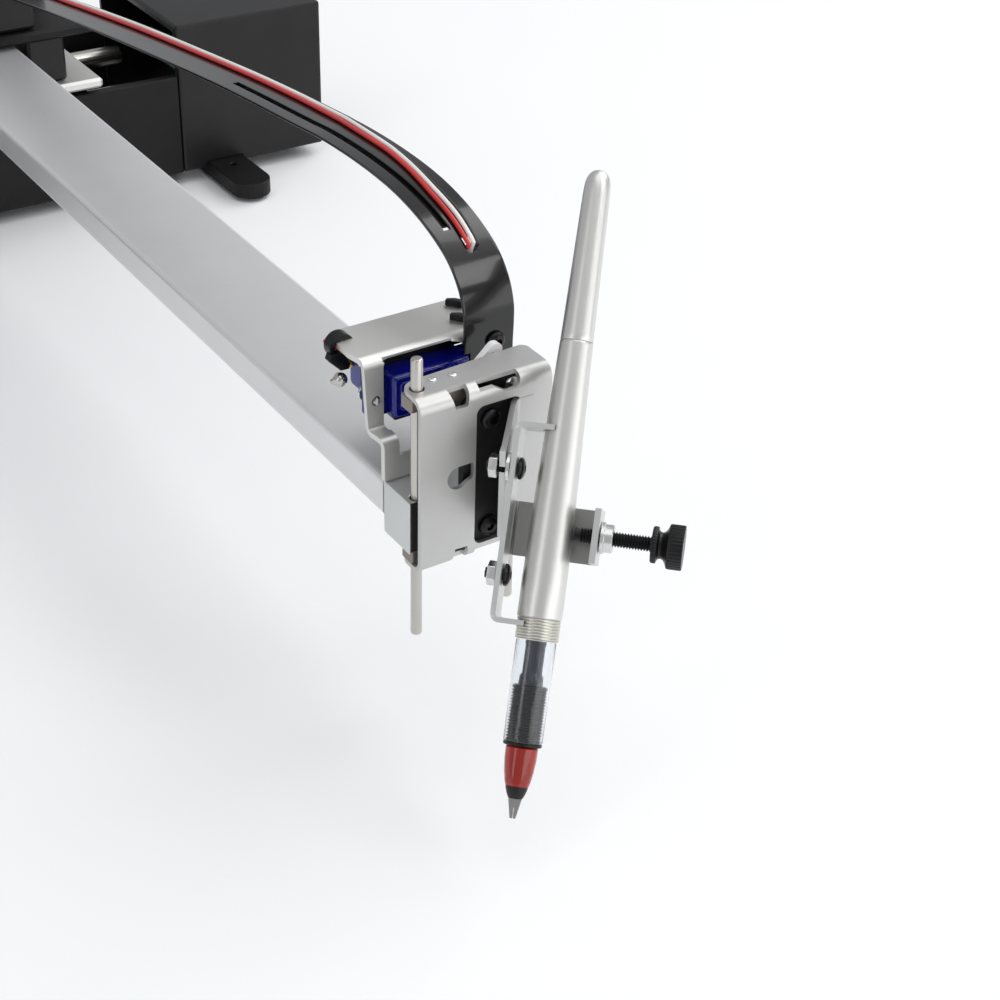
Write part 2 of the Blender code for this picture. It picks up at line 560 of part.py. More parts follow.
# ---- lift carriage, pen clip and pen ----
def build_lift():
    lift = body("z_lift", (16.0, 0, 0))
    here = (16.0, 0, 0)
    upright = axes((0, 1, 0), (0, 0, 1))
    front = axes((1, 0, 0), (0, 0, 1))
    mid = SHEET / 2

    fold = bent([(3.9, LIFT_Z1 - mid), (LIFT_FRONT + mid, LIFT_Z1 - mid), (LIFT_FRONT + mid, LIFT_Z0 + mid),
                 (4.0, LIFT_Z0 + mid)], 3.2, 5)
    width = LIFT_X1 - LIFT_X0
    sheet = outline("pen_carriage", "alloy", lift, [thickened(fold, SHEET)], width, ((LIFT_X0 + LIFT_X1) / 2, 0, 0),
                    upright, here)

    def opening(name, loop, y=-6.0, deep=8.0):
        cut(sheet, outline(name, "alloy", lift, [loop], deep, (0, y, 0), front, here, CUTTERS))

    opening("lift_window", rounded(12.9, -15.0, 25.8, 25.5, 2.2, 4), deep=6.0)
    slot_hole = [(7.9 + 3.2 * cos(radians(a)), 6.9 + 3.2 * sin(radians(a))) for a in range(90, 316, 25)]
    opening("lift_slot", slot_hole + [(12.3, 5.6), (12.3, 10.1)], deep=6.0)
    opening("top_notch", [(4.6, 36), (6.9, 26.8), (10.3, 26.8), (12.4, 36)], -5.9, 5.2)
    opening("top_opening", rounded(13.8, 28.1, 25.4, 40.0, 2.4, 4), -5.9, 5.4)
    opening("bottom_notch", rounded(9.3, -24.0, 15.9, -16.9, 1.0, 2), -7.0, 3.0)
    for side, x, top in zip(("left", "right"), ROD_X, (38, 0)):
        cut(sheet, rod(f"lift_bore_{side}", "steel", lift, (x, 0, -25), (x, 0, top), ROD_R + 0.35, here, 20, group=CUTTERS))

    # the flap bent out of the window, heading forward and left, its free edge shorter than its root
    turn = PEN_TURN
    bend_r, bend_x, plane_y = FLAP_BEND_R, FLAP_BEND_X, LIFT_FRONT + mid
    path = [Vector((29.5, plane_y))]
    for i in range(6):
        a = turn * i / 5
        path.append(Vector((bend_x - bend_r * sin(a), plane_y - bend_r * (1 - cos(a)))))
    head = Vector((-cos(turn), -sin(turn)))
    path.append(path[-1] + head * 14.0)
    flap = outline("lift_flap", "alloy", lift, [thickened(path, 1.5)], 38.0, (0, 0, 5.5), origin=here, group=CUTTERS)
    for name, low, high in (("flap_trim_top", (24.9, 25.0), (16.6, 40.0)), ("flap_trim_low", (-30.0, -14.0), (-30.0, -2.0))):
        loop = ([(26, 40), (26, low[0]), (22, low[0]), (8, high[0]), (8, 40)] if name == "flap_trim_top"
                else [(26, -30), (26, low[1]), (22, low[1]), (8, high[1]), (8, -30)])
        cut(flap, outline(name, "alloy", lift, [loop], 30.0, (0, -14, 0), front, here, CUTTERS))
    cut(sheet, flap, "UNION")

    plate = outline("backing_plate", "black_plastic", lift, [rounded(10.4, -16.1, 27.0, 26.6, 2.5, 3)], 2.2,
                    (0, -3.95, 0), front, here)
    soften(plate, 0.3, 1, 60)
    for where, x, z in (("top", 18.0, 20.2), ("low", 18.1, -11.6)):
        button_screw(f"plate_screw_{where}", lift, (x, -5.35, z), (0, -1, 0), 2.7, 1.3, 1.0, 0.0001, here)

    # pen clip, drawn in the pen's own frame: x out to the thumb screw, y across, z up along the pen
    build_clip(lift, here, sheet)
    return lift


def pen_frame():
    x = Vector((sin(PEN_TURN), -cos(PEN_TURN), 0))
    z = Vector((sin(PEN_LEAN) * cos(PEN_TURN), sin(PEN_LEAN) * sin(PEN_TURN), cos(PEN_LEAN)))
    return Matrix((x, z.cross(x), z)).transposed()


def flap_front():
    """How far the flap's front face lies from the pen's axis, along the pen frame's x."""
    bend = FLAP_BEND_R
    point = Vector((FLAP_BEND_X - bend * sin(PEN_TURN), LIFT_FRONT + SHEET / 2 - bend * (1 - cos(PEN_TURN)), 0))
    return (point - PEN_ZERO).dot(Vector((sin(PEN_TURN), -cos(PEN_TURN), 0))) + 0.75


def build_clip(lift, here, carriage):
    frame = pen_frame()
    seat = body("pen_clip_seat", PEN_ZERO, frame)
    seat.parent = lift
    seat.location = (PEN_ZERO - Vector(here)) * MM
    thick = 1.3
    face = CLIP_FACE - thick / 2
    side_on = axes((1, 0, 0), (0, 0, 1))
    fold = bent([(-1.9, 38.5), (face, 38.5), (face, -9.1), (-1.9, -9.1)], 1.5, 3)
    clip = outline("pen_clip", "alloy", seat, [thickened(fold, thick)], 10.0, (0, 0, 0), side_on)
    strap_path = bent([(face, 3.6), (face, 7.5), (11.2, 7.5), (11.2, -5.2)], 1.6, 3)
    strap = outline("clip_strap", "alloy", seat, [thickened(strap_path, 1.5)], 13.4, (0, 0, CLAMP_Z), group=CUTTERS)
    cut(clip, strap, "UNION")
    for name, z, radius in (("clip_notch_top", 39.1, 5.2), ("clip_notch_low", -9.1, 5.85)):
        cut(clip, rod(name, "alloy", seat, (0, 0, z - 4), (0, 0, z + 4), radius, sides=32, group=CUTTERS))
    cut(clip, rod("clip_nut_hole", "alloy", seat, (9, 0, CLAMP_Z), (17, 0, CLAMP_Z), 2.3, sides=20, group=CUTTERS))

    flap_face = flap_front() + GAP
    spacer = [(1.8, 0), (3.6, 0), (3.6, flap_face - CLIP_FACE + thick + GAP),
              (1.8, flap_face - CLIP_FACE + thick + GAP), (1.8, 0)]
    turned("clip_spacer", "steel", seat, spacer, (CLIP_FACE - thick - GAP, 0, 28.0), (1, 0, 0))
    back = {"A": (28.0, flap_face - 1.5 - 2 * GAP), "B": (1.9, CLIP_FACE - thick - GAP)}
    for label, (z, nut_face) in back.items():
        hole = rod(f"clip_hole_{label}", "steel", seat, (-25, 0, z), (-8, 0, z), 1.8, sides=16, group=CUTTERS)
        cut(clip, hole)
        button_screw(f"clip_screw_{label}", seat, (CLIP_FACE + GAP, 0, z), (1, 0, 0), 2.75, 1.65, 1.5,
                     CLIP_FACE - nut_face + 3.2, look="black_metal")
        nut = rod(f"clip_nut_{label}", "steel", seat, (nut_face - 2.3, 0, z), (nut_face, 0, z), 3.1, sides=6)
        nut.data.shade_flat()
        cut(nut, hole)
        if label == "A":
            cut(carriage, hole)
    sleeve = [(2.3, 3.0), (3.5, 3.0), (3.5, 1.0), (3.9, 0.8), (3.9, 0), (2.3, 0), (2.3, 3.0)]
    turned("insert_nut", "alloy", seat, sleeve, (12.25, 0, CLAMP_Z), (1, 0, 0))
    return seat


def build_pen():
    frame = pen_frame()
    pen = body("pen", PEN_ZERO, frame)
    up = (0, 0, 1)
    turned("pen_tail", "alloy", pen,
           [(0, 103.0), (1.5, 102.6), (2.6, 101.3), (3.2, 99.0), (3.35, 96.0), (4.05, 60.5), (0, 60.5)], (0, 0, 0), up)
    turned("pen_barrel", "alloy", pen,
           [(0, 60.2), (4.1, 60.2), (5.15, 22.0), (5.5, 2.0), (5.5, -6.2), (0, -6.2)], (0, 0, 0), up)
    turned("pen_collar", "brass", pen, [(0, -6.5), (5.35, -6.5), (5.35, -13.4), (0, -13.4)], (0, 0, 0), up)
    turned("pen_window", "clear_plastic", pen, [(0, -13.7), (4.85, -13.7), (4.75, -24.0), (0, -24.0)], (0, 0, 0), up)
    turned("pen_section", "black_plastic", pen,
           [(0, -24.3), (4.8, -24.3), (4.75, -38.5), (4.2, -40.4), (0, -40.4)], (0, 0, 0), up)
    turned("pen_red_collar", "red_plastic", pen,
           [(0, -40.7), (3.9, -40.7), (3.6, -46.0), (2.9, -51.0), (0, -51.0)], (0, 0, 0), up)
    outline("pen_nib", "steel", pen, [[(-1.9, -51.3), (-0.8, -56.3), (0.8, -56.3), (1.9, -51.3)]], 1.0, (0, 0, 0),
            axes((1, 0, 0), (0, 0, 1)))
    return pen


def build_thumb_screw():
    frame = pen_frame()
    at = PEN_ZERO + frame @ Vector((0, 0, CLAMP_Z))
    screw = body("clamp_screw", at, frame)
    shape = [(0, 32.3), (5.1, 32.3), (5.4, 31.9), (5.4, 28.5), (5.1, 28.2), (2.6, 28.0), (2.5, 26.4), (4.1, 26.2),
             (4.2, 24.8), (1.9, 24.5), (1.9, 5.9), (0, 5.9)]
    turned("thumb_screw", "black_plastic", screw, shape, (0, 0, 0), (1, 0, 0), sides=24)


clear_scene()
PARTS = collection("pen_drawing_machine")
CUTTERS = collection("cutters")
build_base()
pulley("x_pulley", -PULLEY_X, BELT_Z)
pulley("x_idler", PULLEY_X, BELT_Z)
build_x_carriage()
build_pinion()
build_arm()
build_horn()
build_lift()
build_pen()
build_thumb_screw()
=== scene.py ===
import json
from math import atan2, cos, pi, radians, sin

import bmesh
import bpy
from mathutils import Matrix, Vector


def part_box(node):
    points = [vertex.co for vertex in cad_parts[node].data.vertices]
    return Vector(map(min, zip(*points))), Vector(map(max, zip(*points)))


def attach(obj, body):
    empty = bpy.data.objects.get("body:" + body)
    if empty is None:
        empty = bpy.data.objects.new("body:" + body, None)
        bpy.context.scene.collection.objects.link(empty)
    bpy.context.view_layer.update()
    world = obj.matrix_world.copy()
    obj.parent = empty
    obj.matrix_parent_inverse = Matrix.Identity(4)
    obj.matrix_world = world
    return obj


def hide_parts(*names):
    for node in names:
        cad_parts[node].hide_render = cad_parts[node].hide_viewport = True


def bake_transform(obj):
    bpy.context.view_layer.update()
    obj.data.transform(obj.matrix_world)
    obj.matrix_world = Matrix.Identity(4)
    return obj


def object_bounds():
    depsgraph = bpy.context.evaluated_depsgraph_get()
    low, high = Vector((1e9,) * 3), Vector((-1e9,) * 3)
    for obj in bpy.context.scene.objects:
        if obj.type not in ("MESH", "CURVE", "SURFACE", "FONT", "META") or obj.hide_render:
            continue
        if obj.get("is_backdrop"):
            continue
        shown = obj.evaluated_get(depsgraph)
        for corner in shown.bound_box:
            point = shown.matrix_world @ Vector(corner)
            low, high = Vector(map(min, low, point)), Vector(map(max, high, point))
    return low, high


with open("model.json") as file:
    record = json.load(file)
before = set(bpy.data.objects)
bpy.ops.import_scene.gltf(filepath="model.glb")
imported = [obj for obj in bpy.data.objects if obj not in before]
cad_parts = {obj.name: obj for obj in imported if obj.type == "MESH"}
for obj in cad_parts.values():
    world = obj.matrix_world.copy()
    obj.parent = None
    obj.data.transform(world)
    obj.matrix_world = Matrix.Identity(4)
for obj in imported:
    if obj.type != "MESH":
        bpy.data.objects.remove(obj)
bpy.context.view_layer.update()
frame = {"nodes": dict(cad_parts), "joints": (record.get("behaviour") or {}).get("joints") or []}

MM = 0.001
rod_lo, rod_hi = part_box("guide_rod_left")
beam_lo, beam_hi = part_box("arm_beam")
# Zero of the head: on the left rod's axis, level with the arm's top. X right, Y back along the arm, Z up.
HEAD = Vector(((rod_lo.x + rod_hi.x) / 2, (rod_lo.y + rod_hi.y) / 2, beam_hi.z))
ROD_NAMES = ("guide_rod_left", "guide_rod_right")
JOINTS = {j["name"]: j for j in frame["joints"]}


# ------------------------------------------------------------------ materials
def shader(name, colour, rough, metal=0.0, **sockets):
    mat = bpy.data.materials.new(name)
    mat.use_nodes = True
    node = mat.node_tree.nodes["Principled BSDF"]
    node.inputs["Base Color"].default_value = (*colour, 1)
    node.inputs["Roughness"].default_value = rough
    node.inputs["Metallic"].default_value = metal
    for key, value in sockets.items():
        node.inputs[key.replace("_", " ")].default_value = value
    return mat, mat.node_tree, node


def noise_at(tree, stretch, scale, detail=3.0, rough=0.55):
    coord = tree.nodes.new("ShaderNodeTexCoord")
    mapping = tree.nodes.new("ShaderNodeMapping")
    mapping.inputs["Scale"].default_value = stretch
    tree.links.new(coord.outputs["Object"], mapping.inputs["Vector"])
    noise = tree.nodes.new("ShaderNodeTexNoise")
    noise.inputs["Scale"].default_value = scale
    noise.inputs["Detail"].default_value = detail
    noise.inputs["Roughness"].default_value = rough
    tree.links.new(mapping.outputs["Vector"], noise.inputs["Vector"])
    return noise.outputs["Fac"]


def ramp(tree, source, stops):
    node = tree.nodes.new("ShaderNodeValToRGB")
    elements = node.color_ramp.elements
    while len(elements) < len(stops):
        elements.new(0.5)
    for element, (at, value) in zip(elements, stops):
        element.position = at
        element.color = (*value, 1) if isinstance(value, tuple) else (value, value, value, 1)
    tree.links.new(source, node.inputs["Fac"])
    return node.outputs["Color"]


def bump(tree, source, node, strength, distance):
    made = tree.nodes.new("ShaderNodeBump")
    made.inputs["Strength"].default_value = strength
    made.inputs["Distance"].default_value = distance
    tree.links.new(source, made.inputs["Height"])
    tree.links.new(made.outputs["Normal"], node.inputs["Normal"])


def metal(name, colour, rough, grain=(1, 1, 1), grain_scale=900, spread=0.03, tint=0.04, bump_by=0.05,
          metallic=1.0, **sockets):
    """Bare metal: brushed grain in its roughness and height, and a slow cloudiness in its colour."""
    mat, tree, node = shader(name, colour, rough, metallic, **sockets)
    fine = noise_at(tree, grain, grain_scale, 2.0)
    cloudy = noise_at(tree, (1, 1, 1), 28, 4.0)
    low = tuple(c * (1 - tint) for c in colour)
    high = tuple(min(1.0, c * (1 + tint)) for c in colour)
    tree.links.new(ramp(tree, cloudy, [(0.3, low), (0.7, high)]), node.inputs["Base Color"])
    gloss = [(0.25, max(0.02, rough - spread)), (0.75, rough + spread)]
    tree.links.new(ramp(tree, fine, gloss), node.inputs["Roughness"])
    bump(tree, fine, node, bump_by, 0.00004)
    return mat


def plastic(name, colour, rough, grain_scale=2600, bump_by=0.1, spread=0.05, tint=0.12, **sockets):
    """Moulded or coated: a fine pebble in its height, faint dust and wear in its colour and roughness."""
    mat, tree, node = shader(name, colour, rough, 0.0, **sockets)
    fine = noise_at(tree, (1, 1, 1), grain_scale, 2.0)
    worn = noise_at(tree, (1, 1, 1), 45, 5.0, 0.6)
    low = tuple(c * (1 - tint) for c in colour)
    high = tuple(min(1.0, c * (1 + tint) + 0.004) for c in colour)
    tree.links.new(ramp(tree, worn, [(0.35, low), (0.75, high)]), node.inputs["Base Color"])
    gloss = [(0.3, max(0.02, rough - spread)), (0.8, rough + spread)]
    tree.links.new(ramp(tree, worn, gloss), node.inputs["Roughness"])
    bump(tree, fine, node, bump_by, 0.00003)
    return mat


ALLOY = (0.57, 0.57, 0.555)
M = {
    "sheet": metal("sheet_alloy", ALLOY, 0.43, (6, 6, 1), 420, 0.03, 0.03, 0.03, 0.88),
    "sheet_across": metal("sheet_alloy_across", (0.71, 0.705, 0.68), 0.46, (1, 6, 6), 420, 0.03, 0.03, 0.03,
                          0.82),
    "arm": metal("arm_alloy", (0.78, 0.78, 0.785), 0.46, (9, 1, 9), 420, 0.03, 0.025, 0.03, 0.72),
    "block": metal("block_alloy", (0.66, 0.67, 0.66), 0.46, (1, 1, 1), 900, 0.04, 0.04, 0.06, 0.8),
    # A darker copy of the block alloy: painted shade for the arm end's front and under faces.
    "block_painted_shade": metal("block_dark_alloy", (0.16, 0.165, 0.16), 0.4, (1, 1, 1), 700, 0.05),
    # Bronze, darkened to paint the shade the bushing blocks sit in.
    "bush": metal("bushing_bronze", (0.27, 0.235, 0.205), 0.45, (1, 1, 1), 900, 0.05, 0.1, 0.1, 0.6),
    "clip": metal("clip_alloy", (0.66, 0.66, 0.645), 0.36, (1, 1, 6), 420, 0.03, 0.03, 0.03, 0.92),
    "pen": metal("pen_alloy", (0.68, 0.675, 0.65), 0.38, (1, 1, 8), 500, 0.02, 0.02, 0.015, 0.95),
    "steel": metal("ground_steel", (0.55, 0.53, 0.49), 0.22, (1, 1, 8), 500, 0.03, 0.05, 0.03),
    "zinc": metal("zinc_steel", (0.66, 0.66, 0.65), 0.26, (1, 1, 1), 900, 0.05),
    "bright": metal("bright_zinc", (0.78, 0.78, 0.78), 0.18, (1, 1, 1), 900, 0.04),
    "oxide": metal("black_oxide", (0.035, 0.035, 0.037), 0.32, (1, 1, 1), 1200, 0.06, 0.2, 0.15),
    # A darker copy of the clip metal: painted shade and reflection on the strap's inner wall.
    "strap": metal("strap_alloy", (0.34, 0.335, 0.32), 0.34, (6, 6, 1), 420, 0.03, 0.04, 0.03, 0.92),
    "brass": metal("pale_brass", (0.60, 0.59, 0.53), 0.32, (1, 1, 1), 900, 0.04),
    "gear_brass": metal("gear_brass", (0.72, 0.55, 0.27), 0.3, (1, 1, 1), 900, 0.05),
    "nib": metal("nib_steel", (0.40, 0.39, 0.38), 0.3, (1, 1, 8), 500, 0.05),
    "satin_black": plastic("satin_black", (0.006, 0.0055, 0.006), 0.42, Specular_IOR_Level=0.35),
    "deep_black": plastic("deep_black", (0.004, 0.004, 0.0045), 0.34, Specular_IOR_Level=0.3),
    "powder_black": plastic("powder_black", (0.0065, 0.0055, 0.006), 0.55, 1500, 0.2, Specular_IOR_Level=0.25),
    "gloss_black": plastic("gloss_black", (0.005, 0.0045, 0.0045), 0.19, 500, 0.02, 0.03, Coat_Weight=0.3,
                           Coat_Roughness=0.05, Specular_IOR_Level=0.4),
    "rubber": plastic("black_rubber", (0.02, 0.02, 0.02), 0.75, 1800, 0.35),
    "motor": plastic("motor_grey", (0.03, 0.03, 0.032), 0.45, 1400, 0.2),
    "board": plastic("circuit_green", (0.012, 0.09, 0.045), 0.35, 900, 0.15, 0.1, 0.4),
    "white": plastic("white_nylon", (0.90, 0.90, 0.90), 0.35, 1600, 0.12, Subsurface_Weight=0.25,
                     Subsurface_Scale=0.001),
    "wire_red": plastic("wire_red", (0.62, 0.03, 0.03), 0.38, 900, 0.1),
    "wire_white": plastic("wire_white", (0.82, 0.80, 0.78), 0.38, 900, 0.1, tint=0.05),
    "wire_black": plastic("wire_black", (0.015, 0.013, 0.013), 0.38, 900, 0.1),
    "wire_yellow": plastic("wire_yellow", (0.75, 0.55, 0.05), 0.38, 900, 0.1),
    "blue": plastic("servo_blue_clear", (0.006, 0.010, 0.34), 0.12, 300, 0.05, 0.03, 0.4,
                    Transmission_Weight=0.5, IOR=1.46, Coat_Weight=0.1, Coat_Roughness=0.03),
    # Lighter, glossier blue for thin lines on the case's edges and seams: painted highlight.
    "painted_blue_highlight": plastic("servo_blue_edge", (0.03, 0.045, 0.62), 0.2, 500, 0.08, 0.04, 0.3,
                         Transmission_Weight=0.2, IOR=1.5, Coat_Weight=0.4, Coat_Roughness=0.05),
    "blue_dark": plastic("servo_inner", (0.010, 0.012, 0.085), 0.3, 700, 0.2, 0.05, 0.6),
    "red": plastic("red_clear", (0.44, 0.014, 0.002), 0.14, 400, 0.05, 0.04, 0.25,
                   Transmission_Weight=0.35, IOR=1.49, Coat_Weight=0.3, Coat_Roughness=0.05),
    "ink": plastic("converter_ink", (0.02, 0.026, 0.045), 0.22, 600, 0.1, 0.05, 0.5),
}


def clear_plastic():
    mat, tree, node = shader("clear_plastic", (0.93, 0.95, 0.97), 0.05, 0.0, Transmission_Weight=1.0, IOR=1.45)
    fine = noise_at(tree, (1, 1, 4), 160, 3.0)
    tree.links.new(ramp(tree, fine, [(0.3, 0.03), (0.8, 0.10)]), node.inputs["Roughness"])
    bump(tree, fine, node, 0.05, 0.00005)
    return mat


M["clear"] = clear_plastic()


# ------------------------------------------------------------------ geometry helpers
def link(name, mesh, mat, place=Matrix.Identity(4), smooth=35.0):
    thing = bpy.data.objects.new(name, mesh)
    bpy.context.scene.collection.objects.link(thing)
    mesh.materials.clear()
    mesh.materials.append(M[mat])
    thing.matrix_world = place
    if smooth:
        mesh.shade_smooth()
        mesh.set_sharp_from_angle(angle=radians(smooth))
    return thing


def at_head(x, y, z, turn=None):
    place = Matrix.Translation(HEAD + Vector((x, y, z)) * MM)
    return place @ turn.to_4x4() if turn is not None else place


def head_box(name):
    """The corners of a CAD node's box, in millimetres from the head."""
    return [(v - HEAD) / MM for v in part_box(name)]


def rod_middles():
    """The middle of each guide rod, in millimetres from the head."""
    return [((low + high) / 2 - HEAD) / MM for low, high in map(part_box, ROD_NAMES)]


def applied(thing, smooth=35.0):
    """The piece with its modifiers made real, so that later cuts and edge rounding see the true shape."""
    def bake():
        bpy.context.view_layer.update()
        mesh = bpy.data.meshes.new_from_object(thing.evaluated_get(bpy.context.evaluated_depsgraph_get()))
        thing.modifiers.clear()
        old = thing.data
        thing.data = mesh
        bpy.data.meshes.remove(old)

    bake()
    if smooth:                             # flat faces stay flat; only the narrow rounded ones are blended
        thing.data.shade_smooth()
        thing.data.set_sharp_from_angle(angle=radians(smooth))
        mod = thing.modifiers.new("even", "WEIGHTED_NORMAL")
        mod.weight = 100
        mod.keep_sharp = True
        bake()
    return thing


def join_cut(thing, tools, operation="DIFFERENCE"):
    """Cuts the tools out of a piece, or joins them to it, and removes the tools."""
    for tool in tools:
        mod = thing.modifiers.new("cut", "BOOLEAN")
        mod.operation = operation
        mod.solver = "EXACT"
        mod.object = tool
    applied(thing)
    for tool in tools:
        bpy.data.objects.remove(tool, do_unlink=True)
    return thing


def round_edges(thing, width, steps=2, angle=35.0):
    mod = thing.modifiers.new("edge", "BEVEL")
    mod.width = width * MM
    mod.segments = steps
    mod.limit_method = "ANGLE"
    mod.angle_limit = radians(angle)
    mod.use_clamp_overlap = True
    return applied(thing, 50.0)


def axes(x, y):
    x, y = Vector(x).normalized(), Vector(y).normalized()
    return Matrix((x, y, x.cross(y))).transposed()


def plate(name, mat, loops, thick, place):
    """A flat plate cut to closed loops (the first is the rim)."""
    curve = bpy.data.curves.new(name, "CURVE")
    curve.dimensions = "2D"
    curve.fill_mode = "BOTH"
    curve.extrude = thick * MM / 2
    for loop in loops:
        spline = curve.splines.new("POLY")
        spline.points.add(len(loop) - 1)
        for point, (x, y) in zip(spline.points, loop):
            point.co = (x * MM, y * MM, 0, 1)
        spline.use_cyclic_u = True
    guide = bpy.data.objects.new(name + "_o", curve)
    bpy.context.scene.collection.objects.link(guide)
    bpy.context.view_layer.update()
    mesh = bpy.data.meshes.new_from_object(guide.evaluated_get(bpy.context.evaluated_depsgraph_get()))
    bpy.data.objects.remove(guide, do_unlink=True)
    bm = bmesh.new()
    bm.from_mesh(mesh)
    bmesh.ops.remove_doubles(bm, verts=bm.verts, dist=1e-6)
    bmesh.ops.recalc_face_normals(bm, faces=bm.faces)
    bm.to_mesh(mesh)
    bm.free()
    return link(name, mesh, mat, place)


def brick(name, mat, lo, hi, place=None):
    lo, hi = Vector(lo), Vector(hi)
    mesh = bpy.data.meshes.new(name)
    bm = bmesh.new()
    bmesh.ops.create_cube(bm, size=1.0)
    bmesh.ops.scale(bm, vec=(hi - lo) * MM, verts=bm.verts)
    bmesh.ops.translate(bm, vec=(lo + hi) / 2 * MM, verts=bm.verts)
    bm.to_mesh(mesh)
    bm.free()
    return link(name, mesh, mat, place or at_head(0, 0, 0))


def bar(name, mat, start, end, radius, sides=48, place=None):
    start, end = Vector(start), Vector(end)
    mesh = bpy.data.meshes.new(name)
    bm = bmesh.new()
    bmesh.ops.create_cone(bm, cap_ends=True, segments=sides, radius1=radius * MM, radius2=radius * MM,
                          depth=(end - start).length * MM)
    bmesh.ops.rotate(bm, matrix=(end - start).to_track_quat("Z", "Y").to_matrix(), verts=bm.verts)
    bmesh.ops.translate(bm, vec=(start + end) / 2 * MM, verts=bm.verts)
    bm.to_mesh(mesh)
    bm.free()
    return link(name, mesh, mat, place or at_head(0, 0, 0))


def lathe(name, mat, profile, place, sides=64, smooth=40.0):
    """A turned shape: (radius, height) pairs from the top down, about the place's Z axis."""
    closed = profile[0] == profile[-1]
    rows = profile[:-1] if closed else profile
    mesh = bpy.data.meshes.new(name)
    bm = bmesh.new()
    rings = []
    for r, z in rows:
        if r < 1e-6:
            rings.append([bm.verts.new((0, 0, z * MM))])
        else:
            turns = [2 * pi * i / sides for i in range(sides)]
            rings.append([bm.verts.new((r * MM * cos(a), r * MM * sin(a), z * MM)) for a in turns])
    pairs = list(zip(rings, rings[1:] + ([rings[0]] if closed else [])))
    for a, b in pairs[:len(rings) if closed else len(rings) - 1]:
        for i in range(sides):
            j = (i + 1) % sides
            corners = [a[i % len(a)], b[i % len(b)], b[j % len(b)], a[j % len(a)]]
            corners = [v for k, v in enumerate(corners) if v not in corners[:k]]
            if len(corners) > 2:
                bm.faces.new(corners)
    bmesh.ops.recalc_face_normals(bm, faces=bm.faces)
    bm.to_mesh(mesh)
    bm.free()
    return link(name, mesh, mat, place, smooth)


def bent(points, radius, steps=8):
    """A path whose corners are rounded to one bend radius."""
    path = [Vector(points[0])]
    for before, corner, after in zip(points, points[1:], points[2:]):
        corner = Vector(corner)
        a, b = (Vector(before) - corner).normalized(), (Vector(after) - corner).normalized()
        half = a.angle(b) / 2
        centre = corner + (a + b).normalized() * (radius / sin(half))
        away = radius * cos(half) / sin(half)
        u, v = corner + a * away - centre, corner + b * away - centre
        sweep = u.angle(v)
        for i in range(steps + 1):
            part = i / steps
            path.append(centre + (u * sin((1 - part) * sweep) + v * sin(part * sweep)) / sin(sweep))
    path.append(Vector(points[-1]))
    return path


def offset(path, shift):
    """The path moved sideways by the same distance everywhere."""
    moved = []
    for i, point in enumerate(path):
        back = path[i] - path[i - 1] if i else path[1] - path[0]
        ahead = path[i + 1] - path[i] if i + 1 < len(path) else back
        a, b = back.normalized(), ahead.normalized()
        normal = Vector((-(a.y + b.y), a.x + b.x)).normalized()
        moved.append(point + normal * (shift / max(0.4, normal.dot(Vector((-a.y, a.x))))))
    return moved


def thickened(path, thick):
    """The closed outline of a sheet that follows a path, half its thickness each side."""
    return [tuple(p) for p in offset(path, thick / 2)] + [tuple(p) for p in offset(path, -thick / 2)][::-1]


def rounded(x0, y0, x1, y1, radius, steps=8):
    """A rectangle's outline with rounded corners."""
    loop = []
    for cx, cy, start in ((x1, y1, 0), (x0, y1, 90), (x0, y0, 180), (x1, y0, 270)):
        ox = cx - radius if cx == x1 else cx + radius
        oy = cy - radius if cy == y1 else cy + radius
        turns = [radians(start + 90 * i / steps) for i in range(steps + 1)]
        loop += [(ox + radius * cos(a), oy + radius * sin(a)) for a in turns]
    return loop


def circle(x, y, radius, sides=32):
    return [(x + radius * cos(2 * pi * i / sides), y + radius * sin(2 * pi * i / sides)) for i in range(sides)]


def tube(name, mat, points, radius, sides=10):
    """A round wire swept through points, closed with flat end caps."""
    pts = [Vector(p) for p in points]
    mesh = bpy.data.meshes.new(name)
    bm = bmesh.new()
    rings = []
    side = None
    for i, p in enumerate(pts):
        ahead = (pts[min(i + 1, len(pts) - 1)] - pts[max(i - 1, 0)]).normalized()
        if side is None:
            side = ahead.orthogonal().normalized()
        side = (side - ahead * side.dot(ahead)).normalized()
        up = ahead.cross(side)
        turns = [2 * pi * k / sides for k in range(sides)]
        rings.append([bm.verts.new((p + (side * cos(a) + up * sin(a)) * radius) * MM) for a in turns])
    for a, b in zip(rings, rings[1:]):
        for k in range(sides):
            bm.faces.new((a[k], a[(k + 1) % sides], b[(k + 1) % sides], b[k]))
    bm.faces.new(rings[0][::-1])
    bm.faces.new(rings[-1])
    bmesh.ops.recalc_face_normals(bm, faces=bm.faces)
    bm.to_mesh(mesh)
    bm.free()
    return link(name, mesh, mat, at_head(0, 0, 0), 60)


def smooth_run(knots, per):
    """Points on the smooth curve from the second knot to just before the last but one."""
    path = []
    for i in range(1, len(knots) - 2):
        p0, p1, p2, p3 = knots[i - 1:i + 3]
        for j in range(per):
            t = j / per
            path.append(0.5 * (2 * p1 + (p2 - p0) * t + (2 * p0 - 5 * p1 + 4 * p2 - p3) * t * t
                               + (3 * p1 - p0 - 3 * p2 + p3) * t ** 3))
    return path


def spline(knots, per=8):
    """A smooth curve through all its knots."""
    knots = [Vector(k) for k in knots]
    return smooth_run([knots[0] * 2 - knots[1]] + knots + [knots[-1] * 2 - knots[-2]], per) + [knots[-1]]


def keep(thing, body, nodes=()):
    """Puts a finished piece on its body, and hides the CAD nodes it stands for."""
    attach(thing, body)
    if nodes:
        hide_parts(*nodes)
    return thing


